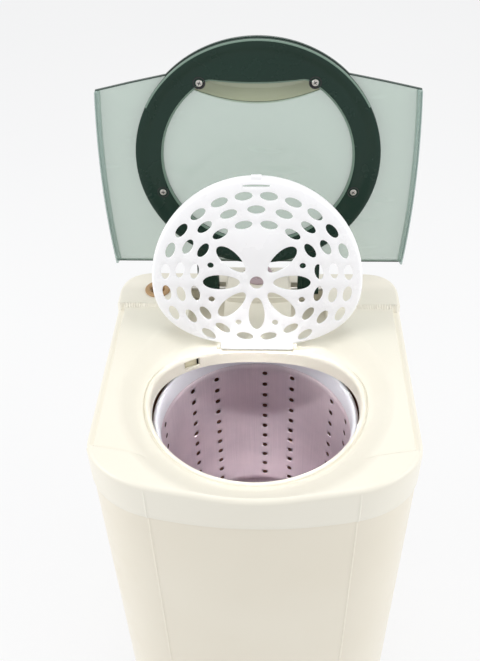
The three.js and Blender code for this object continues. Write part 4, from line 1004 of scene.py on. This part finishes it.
def make_dial():
    """Plain ticks for minutes round the knob, each fifth one longer."""
    ticks, first, step = 26, 220, 10.4
    inner, low, high = 19.2, 28.6, 28.78
    marks = []
    for k in range(ticks):
        a = math.radians(first - k * step)
        outer = inner + (4.2 if k % 5 == 0 else 2.2)
        c = Vector((math.cos(a), math.sin(a)))
        side = Vector((-c.y, c.x)) * (0.35 if k % 5 == 0 else 0.2)
        spots = [c * inner - side, c * outer - side, c * outer + side, c * inner + side]
        marks.append(skin("tick", [[(p.x, KNOB_Y + p.y, z) for p in spots] for z in (low, high)], True, True))
    add_piece("dial_ticks", joined("dial_ticks", marks), PRINT, "cabinet")


def make_hinge_lugs():
    """The two ears that hold the inner lid's pin."""
    for side, label in ((-1, "left"), (1, "right")):
        ear = rounded([(EAR_Y[0], -3.6), (EAR_Y[1], -3.6), (EAR_Y[1], 5.2), (EAR_Y[0], 5.2)], 3.2, 5)
        x0, x1 = sorted((side * EAR_IN, side * EAR_OUT))
        rings = [[(x, y, z) for y, z in drawn_in(ear, by)] for x, by in (
            (x0, 0.4), (x0 + 0.4, 0), (x1 - 0.4, 0), (x1, 0.4),
        )]
        mesh = skin("hinge_lug_" + label, rings, True, True)
        add_piece("hinge_lug_" + label, mesh, CREAM, "cabinet")


make_cover()
make_casing()
make_console()
make_dial()
make_hinge_lugs()

# ---- Outer lid --------------------------------------------------------------------------

LID_UP = opened(LID_AXIS, LID_OPEN)


def add_lid_piece(name, mesh, finishes, replaced=(), sharp_angle=30):
    """A piece that is built on the shut lid and rides on it."""
    add_piece(name, mesh, finishes, "outer_lid", replaced, sharp_angle, LID_UP)


def lid_outline():
    """The closed outer lid from above."""
    right, steps = [], 24
    for k in range(steps + 1):
        y = LID_BACK + (LID_FRONT_CORNER - LID_BACK) * k / steps
        right.append((lid_half_width(y), y))
    right.append(((LID_NOTCH_X + LID_HALF_FRONT) / 2, (NOTCH_Y + LID_FRONT_CORNER) / 2 - 0.8))
    nose = LID_NOSE + 0.6
    first = math.atan2(-math.sqrt(nose ** 2 - LID_NOTCH_X ** 2), LID_NOTCH_X)
    last = -math.pi - first
    arc = [polar(nose, first + (last - first) * k / 48, 0)[:2] for k in range(49)]
    return right + arc + [(-x, y) for x, y in reversed(right)]


HOOD_BACK, HOOD_END, HOOD_FRONT, HOOD_HALF = -64.5, -82.0, -97.0, 73.0


def hood_ring(grow, rise, z):
    """The hood's lens-shaped outline, drawn in as it rises."""
    points = []
    half = HOOD_HALF + grow
    for side in (1, -1):
        peak = (HOOD_BACK + grow if side > 0 else HOOD_FRONT - grow) - HOOD_END
        for k in range(33):
            x = half * (1 - 2 * k / 32) * side
            y = HOOD_END + peak * (1 - (x / half) ** 2)
            if 0 < k < 33:
                points.append((x * (1 - 0.14 * rise), HOOD_END + (y - HOOD_END) * (1 - 0.42 * rise), z))
    return points


def make_window():
    edge = lid_outline()
    lens = [(x, y) for x, y, z in hood_ring(0, 0, 0)]
    sheet = plate("lid_sheet", [edge, lens], LID_LOW, LID_TOP, 0.7)
    with editing(sheet) as work:
        for f in work.faces:
            f.material_index = 1 if abs(f.normal.z) < 0.6 else 0
    add_lid_piece("lid_sheet", sheet, [SMOKED, SMOKED_EDGE], replaced=["lid_window"])
    low, top = LID_LOW - 0.1, LID_TOP + 0.1
    levels = ((1.2, low), (0.15, low), (0.02, low + 0.2), (0.02, top - 0.2), (0.15, top), (1.2, top))
    rings = [[(x, y, z) for x, y in drawn_in(edge[::-1], by)] for by, z in levels]
    add_lid_piece("lid_edge", skin("lid_edge", rings, loop=True), SMOKED_EDGE)


def make_lips():
    """The rolled side lips that hang over the cover's sides."""
    steps, first, last = 28, LID_BACK - 0.4, LID_FRONT_CORNER + 0.4
    for side, label in ((-1, "left"), (1, "right")):
        rings = []
        for k in range(steps + 1):
            y = first + (last - first) * k / steps
            x = lid_half_width(y)
            section = rounded([
                (x - 0.1, 17.9), (x, 9.0), (x - 2.4, 9.0), (x - 3.4, 14.9), (x - 5.5, 15.2), (x - 5.5, 17.6),
            ], 1.2, 3)
            rings.append([(side * sx, y, sz) for sx, sz in section])
        add_lid_piece("lid_lip_" + label, skin("lid_lip_" + label, rings, True, True), SMOKED_EDGE_LIGHT)


def make_hood():
    levels = ((0.0, 16.2), (0.12, 22.0), (0.35, 27.0), (0.65, 30.6), (1.0, 33.2))
    outer = [hood_ring(2.2, rise, z) for rise, z in levels] + [hood_ring(-4, 1.0, 33.9)]
    inner = [hood_ring(0.0, rise, z - 1.2 * rise) for rise, z in levels] + [hood_ring(-6, 1.0, 32.0)]
    hood = skin("lid_hood", outer[::-1] + inner, True, True)
    add_lid_piece("lid_hood", hood, HOOD_TINT, sharp_angle=40)


# The frame ring: its hole, its front lip, and its outer wall, foot and rounding.
RING_HOLE = 100.6
LIP_Y, LIP_HALF, LIP_BOW, LIP_END = 84.3, 47.3, 3.5, 104
RING_OUT, RING_EDGE, RING_FOOT = 129.9, 129.5, 128.4


def lip_reach(angle):
    """How far the frame's inner edge is from the middle, along the ring or its front lip."""
    c, s = math.cos(angle), math.sin(angle)
    reach = RING_HOLE
    if s > -0.3:
        return reach
    # The lip bows with its own x, so its reach is found in a few rounds.
    for _ in range(4):
        lip = (LIP_Y + LIP_BOW * (reach * c / LIP_HALF) ** 2) / -s
        reach = soft_min(RING_HOLE, lip, 3.0) if lip < LIP_END else RING_HOLE
    return reach


def make_frame_ring():
    sides = 192
    angles = [2 * math.pi * k / sides for k in range(sides)]
    inner = [lip_reach(a) for a in angles]

    def face_z(r):
        return 11.3 - 2.6 * smooth_step(114, 128, r)

    def even(reach, z):
        return ring_at([reach] * sides, z, angles)

    rings = [even(RING_OUT, 14.3), even(RING_OUT, 10.4), even(RING_EDGE, 9.3), even(RING_FOOT, 8.75)]
    for k in range(1, 11):
        reach = [RING_FOOT + (r + 2.6 - RING_FOOT) * k / 10 for r in inner]
        rings.append(ring_at(reach, [face_z(r) for r in reach], angles))
    for out, z in ((2.3, 11.4), (0.6, 12.6), (0, 13.2), (0, 14.4), (0.4, 14.7)):
        rings.append(ring_at(grown(inner, out), z, angles))
    rings.append(even(RING_EDGE, 14.7))
    mesh = skin("frame_ring", rings, loop=True)
    # The inner bevel and the front of the outer edge take the pale green, a painted highlight along these
    # edges.
    for face in mesh.polygons:
        reach = math.hypot(face.center.x, face.center.y)
        on_bevel = reach < LIP_END and 11.7 < face.center.z < 13.1
        on_top_edge = reach > RING_FOOT + 0.2 and face.center.z < 10.3 and face.center.y < -60
        face.material_index = 1 if on_bevel or on_top_edge else 0
    add_lid_piece("frame_ring", mesh, [GREEN, GREEN_PAINTED_HIGHLIGHT], ["lid_frame"])


ARM_X, ARM_HALF = 59, 12.5
KNUCKLE_IN, KNUCKLE_R = 2.9, 6.2


def arm_section(side, y, low, high):
    """A cut across a hinge arm, with a channel along its face."""
    x0, x1 = ARM_X - ARM_HALF, ARM_X + ARM_HALF
    points = rounded([
        (x0, low), (x0 + 4, low), (x0 + 5.5, low + 1.8), (x1 - 5.5, low + 1.8), (x1 - 4, low), (x1, low),
        (x1, high), (x0, high),
    ], 0.8, 2)
    return [(side * x, y, z) for x, z in points]


def make_frame_arms():
    levels = (
        (98, 8.6, 14.6), (116, 8.6, 14.6), (131, 8.5, 14.6),
        (136, 6.2, 14.6), (150, 5.9, 14.8), (163, 5.9, 16.5),
    )
    for side, label in ((-1, "left"), (1, "right")):
        arm = skin("arm", [arm_section(side, *level) for level in levels], True, True)
        tube = [(KNUCKLE_IN, 0), (KNUCKLE_R, 0), (KNUCKLE_R, 2 * ARM_HALF), (KNUCKLE_IN, 2 * ARM_HALF)]
        knuckle = turned("knuckle", rounded(tube, 0.7, 2), 40)
        knuckle.transform(along_x(side * ARM_X - ARM_HALF, *LID_AXIS))
        add_lid_piece("frame_arm_" + label, joined("arm_" + label, [arm, knuckle]), GREEN)


SCREW_SPOTS = ((-58, -85.7), (58, -85.7), (-104.1, 37.5), (104.1, 37.5))


def make_lid_screws():
    """Four cross-head screws, each in a cup of the green frame; the cup and the cross in each head are
    painted black as painted shade in these recesses.
    """
    for k, (x, y) in enumerate(SCREW_SPOTS):
        profile = rounded([(0, 10.6), (3.2, 10.6), (3.6, 11.3), (3.6, 12.2), (0, 12.2)], 0.5, 2, False)
        head = turned("head", profile, 32, False)
        bars = []
        for turn in (0, 90):
            bar = plate("slot", [round_rectangle(-2.0, 2.0, -0.4, 0.4, 0.3, 2)], 10.3, 10.64, 0.05, 1)
            bar.transform(Matrix.Rotation(math.radians(turn + 20 + 35 * k), 4, "Z"))
            bars.append(bar)
        cup = turned("cup", rounded([
            (3.7, 12.2), (4.6, 12.2), (5.6, 10.9), (6.4, 11.1), (6.4, 12.4), (3.7, 12.4),
        ], 0.3, 2), 40)
        # The cross is zinc and the cup is green frame, but both take the black rubber finish as painted
        # shade.
        for label, mesh, finish, slot, replaced in (
            ("head", head, ZINC, "zinc", [f"lid_screw_{k + 1}"]),
            ("cross", joined("cross", bars), RUBBER_AND_PAINTED_SHADE, "zinc", ()),
            ("cup", cup, RUBBER_AND_PAINTED_SHADE, "frame_green", ()),
        ):
            mesh.transform(Matrix.Translation((x, y, 0)))
            add_lid_piece(f"lid_screw_{label}_{k + 1}", mesh, finish, replaced)


make_window()
make_lips()
make_hood()
make_frame_ring()
make_frame_arms()
make_lid_screws()

# ---- Inner lid --------------------------------------------------------------------------

DISC_UP = opened(DISC_AXIS, DISC_OPEN)


# The inner lid's rows of oval holes: radius, holes in a full turn, first angle, and where the row ends below.
OVAL_ROWS = ((98.5, 24, 7.5, -25), (83.4, 18, 10, -52), (67.7, 16, 11.25, -90))
OVAL_LONG, OVAL_SHORT = 9.3, 4.65
SMALL_HOLES, SMALL_R, SMALL_OUT = (-67.5, -22.5, 22.5, 157.5, 202.5, 247.5), 3.4, 53
HUB_HOLE_R = 7.4
PETAL_OUT, PETAL_LONG, PETAL_WIDE = 38, 20, 8.7


def disc_holes():
    """All openings of the inner lid, with the slot of its latch tab last."""
    holes = []
    for radius, count, start, limit in OVAL_ROWS:
        for k in range(count):
            degrees = start + k * 360 / count
            below = degrees if degrees <= 180 else degrees - 360
            if 90 < degrees < 270:
                below = 180 - degrees
            if below > limit:
                holes.append(oval(radius, degrees, OVAL_LONG, OVAL_SHORT))
    holes += [petal(k * 45) for k in range(8) if k != 2]
    holes += [oval(SMALL_OUT, degrees, SMALL_R, SMALL_R, 18) for degrees in SMALL_HOLES]
    holes.append(oval(0, 0, HUB_HOLE_R, HUB_HOLE_R, 28))
    holes = [[(x, y + DISC_PATTERN_Y) for x, y in hole] for hole in holes]
    return holes + [round_rectangle(-13.7, 13.7, -112.0, -109.6, 1.0, 3)]


def petal(degrees):
    """A pointed oval hole from near the middle outwards, widest past its half."""
    a = -math.radians(degrees)
    points = []
    for k in range(36):
        b = 2 * math.pi * k / 36
        along = PETAL_OUT + PETAL_LONG * math.cos(b)
        wide = PETAL_WIDE * math.sin(b) * (1 + 0.12 * math.cos(b))
        points.append((along * math.cos(a) - wide * math.sin(a), along * math.sin(a) + wide * math.cos(a)))
    return points


def disc_band(flat):
    """The inner lid's sloped shoulder and raised edge, round its flat face."""
    edge, inside = disc_outline(0), disc_outline(2.0)
    wall_top = 9.6

    def part_way(share, z, outer=edge):
        """A ring part of the way from the flat face to the edge."""
        pairs = zip(flat, outer)
        return [(fx + (ox - fx) * share, fy + (oy - fy) * share, z) for (fx, fy), (ox, oy) in pairs]

    def level(outline, z):
        return [(x, y, z) for x, y in outline]

    rings = [part_way(-0.15, DISC_LOW + 0.15)]
    for k in range(13):
        t = k / 12
        rings.append(part_way(t, DISC_LOW + 0.9 * t + 3.3 * t ** 4))
    rings.append(level(edge, wall_top - 0.6))
    rings += [level(disc_outline(inset), wall_top) for inset in (0.6, 1.4)]
    rings += [level(inside, z) for z in (wall_top - 0.6, 6.8)]
    for t in (0.9, 0.7, 0.4, 0.0):
        rings.append(part_way(t, DISC_TOP + 0.9 * t + 2.0 * t ** 4, inside))
    rings.append(part_way(-0.15, DISC_TOP - 0.15))
    return skin("band", rings, loop=True)


def cut_back_band(band):
    """Leaves room for the barrel behind the band's edge, and for the ears at its ends."""
    hinge_y = DISC_AXIS[0]
    for p in band.vertices:
        x, y = abs(p.co.x), p.co.y
        if x < EAR_IN and y > hinge_y - BARREL_R - 2 and p.co.z > DISC_TOP:
            p.co.z = DISC_TOP
        if x < EAR_OUT + 1.1:
            p.co.y = min(y, hinge_y - 4.2 if x > BARREL_HALF - 0.5 else hinge_y)
    # Faces that this has closed up to nothing go.
    with editing(band) as work:
        bmesh.ops.remove_doubles(work, verts=work.verts, dist=1e-4)


def make_disc():
    flat = disc_flat()
    sheet = plate("sheet", [flat] + disc_holes(), DISC_LOW, DISC_TOP, 0.45)
    band = disc_band(flat)
    cut_back_band(band)
    tab = plate("tab", [round_rectangle(-5.6, 5.6, -121.4, -116, 1.2, 3)], 2.4, 6.6, 0.6)
    tube = [(2.0, 0), (BARREL_R, 0), (BARREL_R, 2 * BARREL_HALF), (2.0, 2 * BARREL_HALF)]
    barrel = turned("barrel", rounded(tube, 0.6, 2), 40)
    barrel.transform(along_x(-BARREL_HALF, *DISC_AXIS))
    hinge_y = DISC_AXIS[0]
    section = rounded([(70.0, 1.65), (hinge_y, 1.3), (hinge_y, DISC_TOP), (70.0, 3.75)], 0.4, 2)
    neck = skin("neck", [[(x, y, z) for y, z in section] for x in (-39.8, -39.4, 39.4, 39.8)], True, True)
    body = joined("inner_lid_disc", [sheet, band, tab, neck, barrel])
    add_piece("inner_lid_disc", body, WHITE, "safety_lid", ["inner_lid"], 34, DISC_UP)


make_disc()

# ---- Drum -------------------------------------------------------------------------------

DRUM_R, DRUM_SHEET = 104.0, 1.2
DRUM_TOP, DRUM_LOW = -50.3, -283.8
ROW_FIRST, ROW_PITCH, ROWS = -66.0, 18.6, 11
# Pairs of columns of holes, in degrees, and half the side of the square cell round each hole.
PAIR_FIRST, PAIR_GAP, PAIRS = 4.8, 18.6, 7
HOLE_R, HOLE_SIDES, CELL_HALF = 3.05, 20, 5.2


def drum_sheet():
    """The perforated wall, with a cell of its own round each hole."""
    columns = sorted(PAIR_FIRST + side * PAIR_GAP + k * 360 / PAIRS for k in range(PAIRS) for side in (0, 1))
    rows = [ROW_FIRST - k * ROW_PITCH for k in range(ROWS)]
    to_degrees = math.degrees(1 / DRUM_R)
    half_cell = math.degrees(CELL_HALF / DRUM_R)
    marks = [CELL_HALF * math.tan(math.radians(a)) for a in (-45, -27, -9, 9, 27, 45)]
    levels = [DRUM_TOP] + [z - mark for z in rows for mark in marks] + [DRUM_LOW]
    bands = [DRUM_TOP] + [z + side * CELL_HALF for z in rows for side in (1, -1)] + [DRUM_LOW]
    points, faces = [], []

    def spot(turn, z):
        a = math.radians(turn)
        points.append((DRUM_R * math.sin(a), DRUM_R * math.cos(a), z))
        return len(points) - 1

    def face(turn0, turn1, z0, z1):
        faces.append((spot(turn0, z0), spot(turn1, z0), spot(turn1, z1), spot(turn0, z1)))

    def strip(first, last, steps):
        """Plain sheet between two columns."""
        for k in range(steps):
            for z0, z1 in zip(levels, levels[1:]):
                face(first + (last - first) * k / steps, first + (last - first) * (k + 1) / steps, z0, z1)

    def pierced(column, middle):
        """The faces from a cell's square edge in to its round hole."""
        for j in range(HOLE_SIDES):
            corners = []
            for m in (j, j + 1):
                a = 2 * math.pi * m / HOLE_SIDES + math.pi / 4
                c, s = math.cos(a), math.sin(a)
                stretch = CELL_HALF / max(abs(c), abs(s))
                corners.append(((c * stretch, s * stretch), (c * HOLE_R, s * HOLE_R)))
            (o0, h0), (o1, h1) = corners
            faces.append(tuple(spot(column + p[0] * to_degrees, middle + p[1]) for p in (o0, o1, h1, h0)))

    for k, column in enumerate(columns):
        nxt = columns[(k + 1) % len(columns)] + (360 if k + 1 == len(columns) else 0)
        gap = nxt - column - 2 * half_cell
        strip(column + half_cell, nxt - half_cell, max(2, round(gap / 3)))
        for index, (z0, z1) in enumerate(zip(bands, bands[1:])):
            if index % 2:
                pierced(column, (z0 + z1) / 2)
                continue
            for m0, m1 in zip(marks, marks[1:]):
                face(column + m0 * to_degrees, column + m1 * to_degrees, z0, z1)
    return mesh_of("drum_wall", points, faces, 0.02)


def make_drum():
    wall = drum_sheet()
    with editing(wall) as work:
        # The sheet's thickness is put on its outside, so its faces look inwards.
        if sum(f.normal.xy.dot(f.calc_center_median().xy) for f in work.faces) > 0:
            bmesh.ops.reverse_faces(work, faces=work.faces)
    # The rims of the holes take the dark brown of painted shade.
    finishes = [DRUM_STEEL, HOLE_EDGE_PAINTED_SHADE]
    made = add_piece("drum_wall", wall, finishes, "spinning_drum", ["spin_drum"], 40)
    thick = made.modifiers.new("Sheet", "SOLIDIFY")
    thick.thickness = DRUM_SHEET * MM
    thick.offset = -1
    thick.material_offset_rim = 1
    floor = turned("drum_floor", rounded([
        (8, -283.6), (30, -283.6), (36, -281.8), (60, -281.8), (66, -283.4), (100, -283.6), (104, -279.6),
        (104.6, -279.6), (104.8, -285), (8, -285),
    ], 1.5, 3), 112)
    add_piece("drum_floor", floor, DRUM_STEEL, "spinning_drum", (), 35)
    low = DRUM_TOP - DRUM_SHEET
    flange = rounded([(DRUM_R, DRUM_TOP), (109, DRUM_TOP), (109, low), (DRUM_R, low)], 0.4, 2)
    add_piece("drum_lip", turned("drum_lip", flange, 112), DRUM_STEEL, "spinning_drum", (), 35)


def make_drum_ring():
    profile = rounded([
        (103, -50), (110, -50), (110, -27), (107.5, -25), (105.2, -25), (103.6, -27.5), (103, -34),
    ], 1.6, 4)
    ring = turned("balance_ring", profile, 144)
    add_piece("balance_ring", ring, RING_WHITE, "spinning_drum", ["drum_ring"], 35)


def make_tub():
    profile = rounded([
        (119.5, -12.8), (117, -12.8), (117, -303), (17.8, -303), (17.8, -305.5), (119.5, -305.5),
    ], 1.0, 3)
    add_piece("tub_wall", turned("tub_wall", profile, 112), TUB, "cabinet", ["water_tub"], 35)


make_drum()
make_drum_ring()
make_tub()

# ---- Console fittings -------------------------------------------------------------------


def make_knob():
    low = 29.3
    skirt = rounded([
        (3.4, low), (17.5, low), (17.5, low + 1.6), (15.9, low + 6.0), (14.6, low + 6.6), (3.4, low + 6.8),
    ], 0.9, 3)
    dial = turned("dial", skirt, 72)
    rings = []
    levels = ((6, 14.8, 4.6), (9, 14.2, 4.0), (12.5, 13.6, 3.5), (14.2, 12.9, 3.0), (15, 11.8, 2.2))
    for rise, half, wide in levels:
        outline = round_rectangle(-wide, wide, -half, half, wide * 0.8, 4)
        rings.append([(x, y, low + rise) for x, y in outline])
    grip = skin("grip", rings, True, True)
    mesh = joined("timer_knob", [dial, grip])
    mesh.transform(Matrix.Translation((0, KNOB_Y, 0)))
    add_piece("timer_grip", mesh, KNOB, "knob", ["timer_knob"], 30)
    line = plate("pointer", [round_rectangle(-0.7, 0.7, 5.5, 12.2, 0.4, 2)], 44.1, 44.36, 0.05, 1)
    line.transform(Matrix.Translation((0, KNOB_Y, 0)))
    add_piece("timer_pointer", line, PRINT, "knob")


def make_inlet():
    top = DECK + 2.5
    profile = rounded([
        (8.5, DECK - 22), (12, DECK - 22), (12, DECK + 0.3), (15, DECK + 0.3),
        (15, top - 1), (13.5, top), (9.6, top), (8.5, top - 1.2),
    ], 0.6, 3)
    mesh = turned("inlet", profile, 56)
    mesh.transform(Matrix.Translation((*INLET, 0)))
    add_piece("water_inlet_socket", mesh, TAN, "cabinet", ["water_inlet"], 35)
    profile = rounded([(0, -5.4), (8.6, -5.4), (8.6, -4.2), (6.8, -4.6), (0, -4.8)], 0.3, 2, False)
    throat = turned("throat", profile, 40, False)
    throat.transform(Matrix.Translation((*INLET, 0)))
    add_piece("water_inlet_throat", throat, RUBBER_AND_PAINTED_SHADE, "cabinet")


make_knob()
make_inlet()
